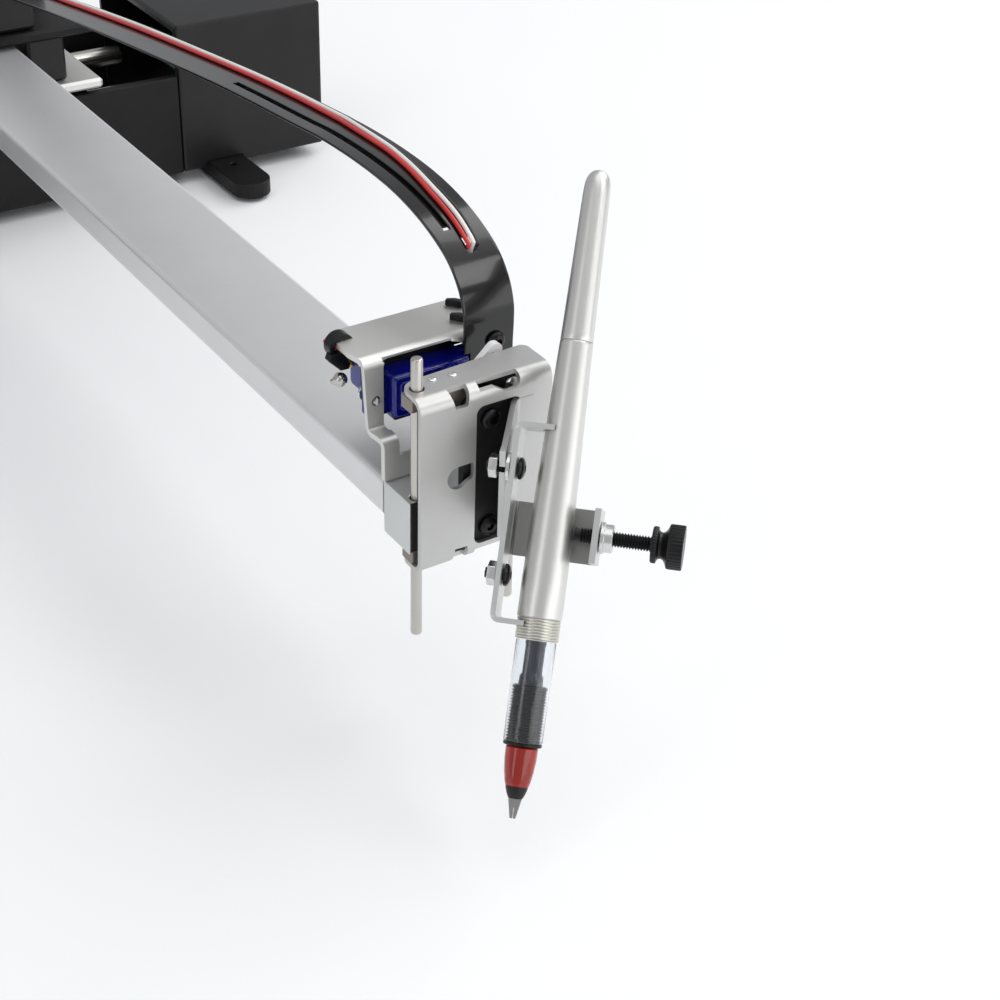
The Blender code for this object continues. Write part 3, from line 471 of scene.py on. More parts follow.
def socket_screw(name, place, head_r, head_h, body, nodes=(), mat="oxide", shank=(0, 0),
                 hexed=True):
    """A button-head screw with a hexagon (or cross) recess, and its shank if it shows."""
    profile = [(0, head_h)]
    for a in (14, 28, 42, 56, 70, 82):
        profile.append((head_r * sin(radians(a)), head_h * (0.25 + 0.75 * cos(radians(a)))))
    profile += [(head_r, head_h * 0.22), (head_r * 0.98, 0)]
    if shank[0]:
        profile += [(shank[0], 0)]
        pitch, z = 0.5, -0.3
        while z - pitch > -shank[1]:
            profile += [(shank[0], z), (shank[0] * 0.86, z - pitch / 2)]
            z -= pitch
        profile += [(shank[0] * 0.9, -shank[1]), (0, -shank[1])]
    else:
        profile += [(0, 0)]
    screw = lathe(name, mat, profile, place, 40)
    crown = place @ Matrix.Translation((0, 0, head_h * MM))
    if hexed:
        join_cut(screw, [plate(name + "_key", mat, [circle(0, 0, head_r * 0.42, 6)], head_h * 1.2, crown)])
    else:
        arm, slit = head_r * 0.62, 0.24
        tools = [plate(name + f"_slot{i}", mat, [rounded(-w, -h, w, h, 0.12, 2)], head_h * 1.1, crown)
                 for i, (w, h) in enumerate(((arm, slit), (slit, arm)))]
        join_cut(screw, tools)
    return keep(screw, body, nodes)


# ------------------------------------------------------------------ camera and light
CAMERA_SPOT = (-205.318, -341.465, 261.262)      # millimetres from the head
CAMERA_TURN = (56.6854, -1.4856, -33.0432)       # degrees about X, Y and Z
CAMERA_LENS = 68.616                             # millimetres, on a 36 mm wide sensor


def photo_camera():
    """The camera stands in front and to the left of the head, and looks down on it."""
    data = bpy.data.cameras.new("photo_camera")
    camera = bpy.data.objects.new("photo_camera", data)
    bpy.context.scene.collection.objects.link(camera)
    camera.location = HEAD + Vector(CAMERA_SPOT) * MM
    camera.rotation_euler = [radians(a) for a in CAMERA_TURN]
    data.sensor_width = 36.0
    data.lens = CAMERA_LENS
    data.clip_start = 0.01
    data.clip_end = 50.0
    bpy.context.scene.camera = camera


def studio():
    scene = bpy.context.scene
    mesh = bpy.data.meshes.new("floor")
    bm = bmesh.new()
    bmesh.ops.create_grid(bm, x_segments=1, y_segments=1, size=6.0)
    bm.to_mesh(mesh)
    bm.free()
    M["floor"], tree, node = shader("floor_paper", (0.93, 0.935, 0.945), 0.7)
    tones = [(0.3, (0.925, 0.93, 0.94)), (0.7, (0.94, 0.945, 0.95))]
    tree.links.new(ramp(tree, noise_at(tree, (1, 1, 1), 3.0), tones), node.inputs["Base Color"])
    floor = link("floor", mesh, "floor", Matrix.Translation((0, 0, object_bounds()[0][2] - 0.0002)), None)
    floor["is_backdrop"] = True
    world = bpy.data.worlds.new("studio")
    scene.world = world
    world.use_nodes = True
    sky = world.node_tree.nodes["Background"]
    sky.inputs["Color"].default_value = (0.95, 0.97, 1.0, 1)
    sky.inputs["Strength"].default_value = 0.51

    def area(name, away, wide, tall, power):
        """A soft box at some metres from the head, turned to it."""
        data = bpy.data.lights.new(name, "AREA")
        data.shape = "RECTANGLE"
        data.size = wide
        data.size_y = tall
        data.energy = power
        lamp = bpy.data.objects.new(name, data)
        scene.collection.objects.link(lamp)
        spot = HEAD + Vector(away)
        lamp.location = spot
        lamp.rotation_euler = (HEAD - spot).to_track_quat("-Z", "Y").to_euler()

    area("key_back_right", (2.2, 0.5, 2.0), 2.0, 2.0, 37.0)
    area("top_soft", (0.1, -0.3, 3.0), 2.6, 2.6, 20.0)
    area("front_wide", (0.45, -1.05, 0.2), 1.5, 0.5, 3.5)
    area("front_top", (0.97, -1.06, 1.4), 0.75, 0.75, 6.0)
    area("left_strip", (-1.1, -0.2, 0.5), 0.3, 1.0, 1.4)
    scene.view_settings.view_transform = "Standard"
    scene.view_settings.look = "None"
    scene.view_settings.exposure = 0.0


# ------------------------------------------------------------------ base and carriage: finishes on CAD shapes
def dress_base():
    looks = {
        "powder_black": ["base_beam", "foot_bar_left", "foot_bar_right", "carriage_bridge"],
        "satin_black": ["end_housing_left", "end_housing_right", "glide_front", "glide_rear", "arm_cheek_left",
                        "arm_cheek_right", "arm_rear_cap", "arm_rack", "strip_anchor"],
        "rubber": [f"foot_pad_{s}_{w}" for s in ("left", "right") for w in ("front", "rear")] + ["x_belt"],
        "steel": ["rail_front", "rail_rear"],
        "motor": ["x_motor", "y_motor", "idler_bracket"],
        "board": ["controller_board"],
        "gear_brass": ["y_pinion"],
        "sheet_across": ["carriage_plate"],
        "zinc": ["x_pulley", "x_idler"],
        "arm": ["arm_beam"],
    }
    for look, names in looks.items():
        for name in names:
            mesh = frame["nodes"][name].data
            mesh.materials.clear()
            mesh.materials.append(M[look])
            mesh.shade_smooth()
            mesh.set_sharp_from_angle(angle=radians(35))


photo_camera()
studio()
dress_base()


# ------------------------------------------------------------------ arm end, rods, bracket, servo
UPRIGHT = axes((0, 1, 0), (0, 0, 1))      # plates drawn in Y and Z, thick along X
ACROSS = axes((1, 0, 0), (0, 0, 1))       # plates drawn in X and Z, thick along Y


ROD_SEAT = 1.72                           # radius of the arm end's bores


def build_arm_end():
    lo, hi = head_box("arm_end_block")
    rods = rod_middles()
    cuts = [bar("bore", "block", (r.x, 0, -20), (r.x, 0, 5), ROD_SEAT) for r in rods]
    piece = join_cut(brick("arm_end", "block", lo, hi), cuts)
    round_edges(piece, 0.45, 2)
    # Faces that look forward or down take the darker copy of the metal: painted shade.
    piece.data.materials.append(M["block_painted_shade"])
    for face in piece.data.polygons:
        if face.normal.y < -0.6 or face.normal.z < -0.6:
            face.material_index = 1
    keep(piece, "arm", ["arm_end_block"])
    for name, r in zip(ROD_NAMES, rods):
        low, high = head_box(name)
        h = (high.z - low.z) / 2
        end = [(0, h), (1.1, h), (1.35, h - 0.12), (1.5, h - 0.45)]
        shape = end + [(r, -z) for r, z in reversed(end)]
        place = at_head(r.x, r.y, (high.z + low.z) / 2)
        keep(lathe(name + "_fine", "steel", shape, place), "arm", [name])


SHEET_THICK = 1.5                         # bracket, flap and strap


def build_bracket():
    upper = bent([(34.5, 31.25), (17.25, 31.25), (17.25, 20)], 2.2, 8)
    lower = bent([(17.25, 20), (17.25, 11.4), (10.25, 11.4), (10.25, 0.4)], 1.8, 6)
    lo, hi = head_box("servo_bracket")
    x0 = lo.x - 2.0
    sheet = plate("bracket_sheet", "sheet_across", [thickened(upper[:-1] + lower[1:], SHEET_THICK)], hi.x - x0,
                  at_head((x0 + hi.x) / 2, 0, 0, UPRIGHT))
    window = [(0.3, 7.9), (0.3, 29.0), (0.7, 30.2), (1.9, 30.6)]
    window += [(19.4 + 5.3 * sin(radians(9 * i)), 27.0 + 3.6 * cos(radians(9 * i))) for i in range(11)]
    cuts = [plate("window", "sheet", [window + [(24.7, 7.9)]], 6, at_head(0, 17, 0, ACROSS)),
            plate("throat", "sheet", [rounded(0.8, 6.6, 26.5, 13.2, 1.2, 4)], 12, at_head(0, 12.5, 0, ACROSS))]
    cuts.append(brick("window_lip", "sheet", (0.3, 13, 30), (20.4, 17.5, 34)))
    leg = [(-14, 40), (-5.6, 40), (-5.2, 30), (-4.2, 12.2), (-4.2, 4), (-14, 4)]
    cuts.append(plate("leg_taper", "sheet", [leg], 3.0, at_head(0, 16.8, 0, ACROSS)))
    left = [(-14, 4), (-3.6, 4), (-3.6, 10.0), (-4.2, 15.4), (-5.6, 15.5), (-5.5, 18.3), (-6.3, 22.5),
            (-6.3, 28.3), (-4.9, 28.5), (-4.9, 32.0), (-6.1, 32.2), (-6.0, 40), (-14, 40)]
    right = [(42, 4), (42, 40), (40, 40), (hi.x + 1, 30), (hi.x + 1, 20), (hi.x, 16.0), (30.9, 10.0), (30.9, 4)]
    cuts += [plate("flank", "sheet", [loop], 60, at_head(0, 0, 20)) for loop in (left, right)]
    for sign, cx in ((-1, -3.9), (1, hi.x - 4)):
        r = 2.2 if sign < 0 else 4
        loop = [(cx + sign * r * sin(radians(9 * i)), 34.5 - r + r * cos(radians(9 * i))) for i in range(11)]
        loop += [(cx + sign * 8, 34.5 - r), (cx + sign * 8, 40), (cx, 40)]
        cuts.append(plate("corner", "sheet", [loop], 6, at_head(0, 0, 31.2)))
    cuts += [bar("ear", "sheet", (x, 14, z), (x, 19, z), 1.3, 24) for x, z in ear_points()]
    join_cut(sheet, cuts)
    round_edges(sheet, 0.2, 2, 40)
    keep(sheet, "arm", ["servo_bracket"])

    for name, x, y in (("plate_tab_back", 29.4, 30.6), ("plate_tab_front", 26.2, 23.2)):
        outline = [(-1.9, 1.2), (-0.9, 2.1), (1.2, 1.0), (2.6, -1.2), (2.2, -2.4), (0.4, -1.6), (-0.6, 0.0)]
        piece = plate(name, "deep_black", [[(x + u, y + v) for u, v in outline]], 1.7, at_head(0, 0, 32.9))
        round_edges(piece, 0.25, 2, 50)
        keep(piece, "arm", ())


def ear_points():
    """The two ear screws, a little off their CAD places."""
    found = []
    for name, dx in (("ear_screw_left", -0.7), ("ear_screw_right", 0.0)):
        a, b = head_box(name)
        found.append(((a.x + b.x) / 2 + dx, (a.z + b.z) / 2 - 0.6))
    return found


HORN_ANGLE = 48.5                         # degrees above level, as the pen stands raised
HORN_HUB_R, HORN_TIP_R = 3.4, 2.1
HORN_REACH = 13.4                         # from the shaft to the middle of the rounded tip
PEG_AT = 10.0                             # the peg that lifts the carriage, along the horn


def build_servo():
    lo, hi = head_box("servo_body")
    shaft = (JOINTS["horn_turn"]["pos_m"][0], JOINTS["horn_turn"]["pos_m"][2])
    sx, sz = shaft[0] / MM - HEAD.x / MM, shaft[1] / MM - HEAD.z / MM
    x0, x1 = lo.x + 4.8, hi.x - 5.1
    z0, z1 = lo.z, hi.z
    front = 14.0
    shell = brick("servo_shell", "blue", (x0, front, z0), (x1, hi.y, z1))
    round_edges(shell, 0.9, 4, 40)
    ears = plate("ears", "blue", [rounded(lo.x - 0.5, z0 - 0.2, hi.x, z1 - 2.2, 1.2, 4)], 2.5,
                 at_head(0, 19.55, 0, ACROSS))
    tall = brick("ear_tall", "blue", (x1 - 2, 18.32, z0 + 0.5), (hi.x - 0.05, 20.78, z1 - 0.1))
    boss = bar("boss", "blue", (sx, front + 0.6, sz), (sx, 10.0, sz), 5.85, 48)
    join_cut(shell, [ears, tall, boss], "UNION")
    cuts = [bar("hole", "blue", (x, 15, z), (x, 23, z), 1.2, 20) for x, z in ear_points()]

    def inside(inset, radius, steps):
        return rounded(x0 + inset, z0 + inset, x1 - inset, z1 - inset, radius, steps)

    seams = (23.0, 30.5)                      # the joints between the case's lid, middle and floor
    for y in seams:
        cuts.append(plate("seam", "blue", [inside(-1, 0.5, 2), inside(0.22, 0.6, 3)], 0.3,
                          at_head(0, y, 0, ACROSS)))
    for inset, width in ((1.5, 0.28), (3.1, 0.22)):      # two shallow frames in the front face
        cuts.append(plate("frame", "blue", [inside(inset, 0.7, 4), inside(inset + width, 0.5, 4)[::-1]], 0.5,
                          at_head(0, front, 0, ACROSS)))
    join_cut(shell, cuts)
    round_edges(shell, 0.12, 2, 40)
    keep(shell, "arm", ["servo_body"])
    # Lighter blue lines round the front face's frames and along the case seams: painted edge highlights.
    for i, (inset, y) in enumerate(((0.75, front + 0.12), (2.2, front - 0.05))):
        ring = [Vector((u, y, v)) for u, v in inside(inset, 0.8, 4)]
        keep(tube(f"servo_edge_{i}", "painted_blue_highlight", ring + ring[:1], 0.17, 8), "arm", ())
    for i, y in enumerate(seams):
        ring = [Vector((u, y, v)) for u, v in inside(0.25, 0.7, 4)]
        keep(tube(f"servo_joint_{i}", "painted_blue_highlight", ring + ring[:1], 0.14, 8), "arm", ())
    core = brick("servo_gearbox", "blue_dark", (x0 + 1.2, 15.3, z0 + 1.0), (x1 - 1.2, hi.y - 1.0, z1 - 1.6))
    round_edges(core, 0.6, 2)
    keep(core, "arm", ())
    # Black slabs at the servo's floor and in the gap over its top up to the bracket plate: painted shade and
    # shadow.
    shade_blocks = {"servo_floor": ((x0 + 0.4, front + 0.2, z0 - 0.25), (x1 - 0.4, hi.y - 0.3, z0 + 0.35)),
             "servo_pad": ((x0 + 0.5, 20.9, z1 + 0.02), (x1 + 5.0, 34.0, 30.45))}
    for name, (low, high) in shade_blocks.items():
        piece = brick(name, "deep_black", low, high)
        round_edges(piece, 0.15, 2)
        keep(piece, "arm", ())

    d = Vector((cos(radians(HORN_ANGLE)), sin(radians(HORN_ANGLE))))
    side = Vector((-d.y, d.x))
    hub = [pi / 2 + pi * i / 16 for i in range(17)]
    tip = [-pi / 2 + pi * i / 14 for i in range(15)]
    loop = [tuple(d * (HORN_HUB_R * cos(a)) + side * (HORN_HUB_R * sin(a))) for a in hub]
    loop += [tuple(d * (HORN_REACH + HORN_TIP_R * cos(a)) + side * (HORN_TIP_R * sin(a))) for a in tip]
    holes = [circle(*(d * r), 0.45, 14) for r in (5.2, 7.4, 12.4)]
    horn = plate("horn_arm", "white", [loop] + holes, 1.9, at_head(sx, 8.0, sz, ACROSS))
    round_edges(horn, 0.25, 2, 50)
    keep(horn, "horn", ["servo_horn"])
    pin = Vector((sx, 0, sz)) + Vector((d.x, 0, d.y)) * PEG_AT
    peg = [(0, 6.6), (0.7, 6.6), (0.8, 6.4), (0.8, 0), (1.3, -0.1), (1.3, -0.6), (0, -0.6)]
    keep(lathe("horn_peg", "zinc", peg, at_head(pin.x, 9.0, pin.z, ACROSS), 24), "horn")
    socket_screw("horn_screw", at_head(sx, 7.0, sz, ACROSS), 1.9, 0.9, "horn", mat="zinc",
                 hexed=False)
    for name, (x, z) in zip(("ear_screw_left", "ear_screw_right"), ear_points()):
        place = at_head(x, 21.1, z, axes((1, 0, 0), (0, 0, -1)))
        socket_screw(name + "_fine", place, 2.25, 2.0, "arm", [name], "bright", (0.95, 5.3), False)
        star = [(0, 0.55), (0.35, 0.5), (0.95, 0.15), (1.15, 0), (1.15, -0.3), (0, -0.3)]
        keep(lathe(name + "_tip", "bright", star, at_head(x, 15.95, z, ACROSS), 4, 20), "arm", ())


# ------------------------------------------------------------------ cable guide and lead
# The strip's route: back along the arm, and up.
KNOTS = [(15.1, 20), (15.1, 27), (14.9, 33), (15.3, 38.3), (18.0, 44.4), (23.6, 50.0), (33, 54.4), (44, 57.3),
         (56, 58.8), (72, 59.2), (90, 58.5), (105, 57), (150, 52.5), (200, 46), (250, 39), (300, 31.2),
         (335, 25.5), (361, 23.8)]
COURSE = [(24.4, 30.5), (28, 30.5), (45, 31.4), (70, 33.2), (120, 34.0), (361, 33.5)]   # the lead: Y, then X
GUIDE_THICK = 0.8


def guide_path():
    knots = [Vector(k) for k in KNOTS]
    return knots[:1] + smooth_run(knots, 10) + knots[-2:]


def ribbon(name, mat, path, x0, x1, thick, cells, gone):
    """A strip swept along a Y-Z path, drawn as a grid so that slots can be left out of it."""
    mesh = bpy.data.meshes.new(name)
    bm = bmesh.new()
    grid = []
    across = [x0 + (x1 - x0) * (j / cells) for j in range(cells + 1)]
    for p in path:
        grid.append([bm.verts.new(Vector((x, p.x, p.y)) * MM) for x in across])
    for i in range(len(path) - 1):
        for j in range(cells):
            if not gone(path[i], path[i + 1], (j + 0.5) / cells):
                bm.faces.new((grid[i][j], grid[i + 1][j], grid[i + 1][j + 1], grid[i][j + 1]))
    for v in [v for v in bm.verts if not v.link_faces]:
        bm.verts.remove(v)
    bm.to_mesh(mesh)
    bm.free()
    thing = link(name, mesh, mat, at_head(0, 0, 0), None)
    mod = thing.modifiers.new("thick", "SOLIDIFY")
    mod.thickness = thick * MM
    mod.offset = 0.0
    return applied(thing, 40)


def build_guide():
    path = guide_path()
    lo, hi = head_box("cable_guide")
    wide = hi.x - lo.x

    def gone(a, b, u):                        # u runs across the strip, from its left edge
        mid = (a + b) / 2
        slit = 0.44 < u < 0.62 and 49.8 < mid.y < 52.2 and mid.x < 30
        slot = 0.24 < u < 0.38 and 30.5 < mid.x < 150
        low_corner = u < 0.14 and mid.y < 27.2
        return slit or slot or low_corner

    strip = ribbon("guide_strip", "gloss_black", path, lo.x, hi.x, GUIDE_THICK, 24, gone)
    round_edges(strip, 0.14, 2, 60)
    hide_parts("cable_guide")
    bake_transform(strip)
    inner = ribbon("guide_liner", "deep_black", offset(path, -1.0), lo.x + 1.4, lo.x + 0.55 * wide, 0.5, 6,
                   lambda a, b, u: (a.x + b.x) / 2 < 33)
    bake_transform(inner)

    lane = offset(path, 0.95)
    top = [p for p in lane if p.x > 24.6 and p.y > 20 or p.x > 60]
    first = top[0]

    def across(y):
        for (ya, xa), (yb, xb) in zip(COURSE, COURSE[1:]):
            if y <= yb:
                return xa + (xb - xa) * max(0.0, (y - ya)) / (yb - ya)
        return COURSE[-1][1]

    for name, mat, dx in (("lead_red", "wire_red", -0.68), ("lead_white", "wire_white", 0.68),
                          ("lead_black", "wire_black", 1.9)):
        inside = [Vector((across(first.x) + dx, first.x + 1.2, first.y - 2.8))]
        along = []
        for i, p in enumerate(top):
            sway = 0.22 * sin(i / 9.0 + 1.0) + 0.16 * sin(i / 4.1) + 0.12 * dx * sin(i / 6.3)
            along.append(Vector((across(p.x) + dx + sway, p.x, p.y + (0.1, 0.45, -0.1)[(dx > 0) + (dx > 1)])))
        wire = tube(name, mat, inside + along, 0.62, 12)
        if name == "lead_red":
            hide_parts("servo_lead")
        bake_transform(wire)

    a, b = head_box("guide_screw")
    place = at_head((a.x + b.x) / 2 - 0.6, 14.6, (a.z + b.z) / 2 + 1.4, ACROSS)
    socket_screw("guide_screw_fine", place, 2.6, 1.9, "arm", ["guide_screw"], shank=(0.95, 1.8))


def build_cable_clip():
    c = Vector((-4.6, 30.2))
    arc = [Vector((c.x + 2.8 * cos(radians(a)), c.y + 2.8 * sin(radians(a)))) for a in range(20, 256, 8)]
    loop = plate("cable_loop", "deep_black", [thickened(arc, 1.5)], 3.2, at_head(0, 30.2, 0, ACROSS))
    round_edges(loop, 0.3, 2, 50)
    keep(loop, "arm", ["cable_clip"])
    wedge = [(-8.3, 29.2), (-8.9, 27.6), (-5.6, 24.2), (-3.1, 24.1), (-2.7, 25.5), (-4.9, 29.0)]
    foot = plate("cable_foot", "deep_black", [wedge], 2.6, at_head(0, 28.9, 0, ACROSS))
    round_edges(foot, 0.3, 2, 50)
    keep(foot, "arm", ())
    ball = [(0, 1.9), (0.75, 1.78), (1.35, 1.35), (1.75, 0.7), (1.9, 0.0), (1.8, -0.6), (1.4, -0.95),
            (0.9, -1.1), (0.9, -4.4), (0, -4.4)]
    ball_at = at_head(-5.8, 27.8, 21.7, axes((1, 0, 0), (0, 0.55, 0.83)))
    keep(lathe("cable_foot_screw", "steel", ball, ball_at, 40), "arm", ())
    for i, mat in enumerate(("wire_red", "wire_yellow", "wire_black")):
        dx = (i - 1) * 1.15
        points = spline([(1.6 + dx, 35.2, 20.0), (-1.0 + dx, 34.6, 23.6), (-3.6 + dx * 0.6, 32.8, 26.6),
                         (-4.3 + dx * 0.6, 30.2, 28.6), (-5.7 + dx * 0.5, 30.6, 30.4 - 0.5 * dx),
                         (-6.9 + dx * 0.3, 32.5, 30.2 - 0.6 * dx), (-3.0 + dx, 35.4, 28.8),
                         (9 + dx, 36.9, 27.6), (22 + dx * 0.4, 36.0 - dx, 28.6)])
        keep(tube(f"tail_wire_{i}", mat, points, 0.55, 10), "arm", ())


build_arm_end()
build_bracket()
build_servo()
build_guide()
build_cable_clip()


# ------------------------------------------------------------------ lift carriage
ROD_WAY = 1.75                            # radius of the bushes' bores round the 3 mm rods


def build_lift():
    front, back_top, back_low = -7.0, 6.0, 4.0
    x0, x1, z1 = -3.0, 35.0, 31.2
    z0 = -19.2
    mid = 0.65                                            # half the sheet's thickness
    face = front + mid
    fold = bent([(back_top, z1 - mid), (face, z1 - mid), (face, z0 + mid), (back_low, z0 + mid)], 3.0, 10)
    sheet = plate("lift_sheet", "sheet", [thickened(fold, 2 * mid)], x1 - x0,
                  at_head((x0 + x1) / 2, 0, 0, UPRIGHT))

    def opening(loop, y, deep):
        return plate("opening", "sheet", [loop], deep, at_head(0, y, 0, ACROSS))

    drop = [(7.9 + 3.2 * cos(radians(a)), 6.9 + 3.2 * sin(radians(a))) for a in range(90, 316, 15)]
    cuts = [opening(rounded(12.9, -15.0, 25.8, 25.5, 2.2, 8), -6.0, 6.0),
            opening(drop + [(12.0, 5.6), (12.3, 5.9), (12.3, 9.8), (12.0, 10.15)], -6.0, 6.0),
            opening([(4.6, 36), (6.9, 26.7), (10.3, 26.7), (12.4, 36)], -6.35, 5.3),
            opening([(14, 36), (14, 29.4), (18.4, 29.4), (20.0, 28.6), (21.2, 27.8), (22.4, 27.6), (24.2, 27.8),
                     (25.4, 28.8), (25.9, 30.0), (25.9, 36)], -6.35, 5.3),
            plate("skew", "sheet", [[(-5, 3.8), (38, 6.1), (38, 12), (-5, 12)]], 4, at_head(0, 0, 30.4)),
            opening([(5.6, -24), (7.3, -14.4), (10.9, -14.6), (12, -24)], -6.35, 5.3),
            opening([(13.3, -24), (13.3, -16.2), (24, -16.2), (25, -24)], -6.35, 5.3)]
    rods = rod_middles()
    tops = (38, 0)                                        # only the left rod comes through the top flange
    cuts += [bar("bore", "sheet", (r.x, 0, -25), (r.x, 0, top), 1.95, 40) for r, top in zip(rods, tops)]
    for sign, cx, r in ((-1, x0, 4.2), (1, x1, 2.2)):       # rear corners of both flanges
        for z, back in ((30.4, 3.9 if sign < 0 else 5.9), (-18.4, back_low)):
            cx2, cy2 = cx - sign * r, back - r
            loop = [(cx2 + sign * r * sin(radians(10 * i)), cy2 + r * cos(radians(10 * i))) for i in range(10)]
            loop += [(cx2 + sign * (r + 3), cy2), (cx2 + sign * (r + 3), cy2 + 9), (cx2, cy2 + 9)]
            cuts.append(plate("corner", "sheet", [loop], 4, at_head(0, 0, z)))
    join_cut(sheet, cuts)

    turn, bend_x, bend_r = radians(46), 25.8, 3.2         # the flap's soft bend at the window's right edge
    path = [Vector((29.5, face))]
    for i in range(11):
        a = turn * i / 10
        path.append(Vector((bend_x - bend_r * sin(a), face - bend_r * (1 - cos(a)))))
    heading = Vector((-cos(turn), -sin(turn)))
    path.append(path[-1] + heading * 14.0)
    flap = plate("flap", "sheet", [thickened(path, SHEET_THICK)], 38.0, at_head(0, 0, 5.5))
    trims = [opening([(27.5, 40), (27.5, 24.9), (22, 24.9), (17.5, 31.0), (8, 40)], -14, 30),
             opening([(26, 40), (26, 24.9), (22.5, 24.0), (17.5, 20.2), (15, 18.5), (6, 17.2), (6, 40)],
                     -14, 30),
             opening([(28, -30), (28, -14.0), (22, -14.0), (8, -2.0), (6, -30)], -14, 30)]
    join_cut(flap, trims)
    join_cut(sheet, [flap], "UNION")
    z = CLIP_SCREWS["A"]
    join_cut(sheet, [bar("screw_way", "sheet", (-25, 0, z), (-8, 0, z), 1.7, 24, pen_place())])
    round_edges(sheet, 0.25, 3, 42)
    keep(sheet, "lift", ["pen_carriage"])

    lo, hi = head_box("backing_plate")
    board = plate("backing_fine", "satin_black", [rounded(lo.x, lo.z, hi.x, hi.z, 2.5, 6)], hi.y - lo.y,
                  at_head(0, (lo.y + hi.y) / 2, 0, ACROSS))
    round_edges(board, 0.35, 2, 50)
    keep(board, "lift", ["backing_plate"])
    for name in ("plate_screw_top", "plate_screw_low"):
        a, b = head_box(name)
        place = at_head((a.x + b.x) / 2, b.y, (a.z + b.z) / 2, ACROSS)
        socket_screw(name + "_fine", place, 2.7, 1.3, "lift", [name])
    for i, (x, y) in enumerate(((5.4, 1.9), (10.9, 1.4))):
        socket_screw(f"flange_screw_{i}", at_head(x, y, z1), 1.1, 0.5, "lift", mat="bright",
                     hexed=False)
    # The bushing blocks wear bronze, darkened to paint the shade under and beside the flanges.
    for name, r, low, high, wide in (("bush_left", rods[0], 26.4, z1 - 1.35, (3.2, 3.6)),
                                     ("bush_left_low", rods[0], z0 + 1.35, -14.5, (3.0, 3.0)),
                                     ("bush_right_low", rods[1], z0 + 1.35, -14.5, (3.0, 3.0))):
        loops = [rounded(r.x - wide[0], -2.7, r.x + wide[1], 2.35, 0.6, 4), circle(r.x, 0, ROD_WAY)[::-1]]
        piece = plate(name, "bush", loops, high - low, at_head(0, 0, (low + high) / 2))
        round_edges(piece, 0.2, 2, 50)
        keep(piece, "lift", ())
    for name, mat, xa, xb in (("bush_bar", "bush", 3.8, 13.2), ("bush_right", "deep_black", 13.4, 31.5)):
        loops = [rounded(xa, -2.7, xb, 1.9, 0.4, 3)]
        if name == "bush_right":                   # the right rod slides up into this block
            loops.append(circle(rods[1].x, 0, ROD_WAY)[::-1])
        block = plate(name, mat, loops, 6.4, at_head(0, 0, 26.55))
        round_edges(block, 0.25, 2, 50)
        keep(block, "lift", ())
    keep(lathe("bush_rivet", "bright", [(0, 0.7), (1.5, 0.6), (2.0, 0.2), (2.0, -0.4), (0, -0.4)],
               at_head(25.6, -2.9, 26.6, ACROSS), 32), "lift", ())


def pen_place(z=0.0, x=0.0):
    """The pen's own frame: x out to the thumb screw, z up along the pen."""
    joint = JOINTS["pen_slide"]
    up = Vector(joint["axis"]).normalized()
    out = Vector(JOINTS["clamp_slide"]["axis"]).normalized()
    turn = Matrix((out, up.cross(out), up)).transposed()
    return Matrix.Translation(Vector(joint["pos_m"])) @ turn.to_4x4() @ Matrix.Translation((x * MM, 0, z * MM))


CLIP_SCREWS = {"A": 28.0, "B": 1.9}       # heights along the pen
CLAMP_Z = 13.8
HEAD_SEAT = -9.8                          # where the clip screws' heads sit, along the seat's x
OUTWARD = Matrix(((0, 0, 1), (0, 1, 0), (-1, 0, 0))).to_4x4()      # lays a lathe's Z along the seat's x
INWARD = OUTWARD @ Matrix.Rotation(pi, 4, "Y")


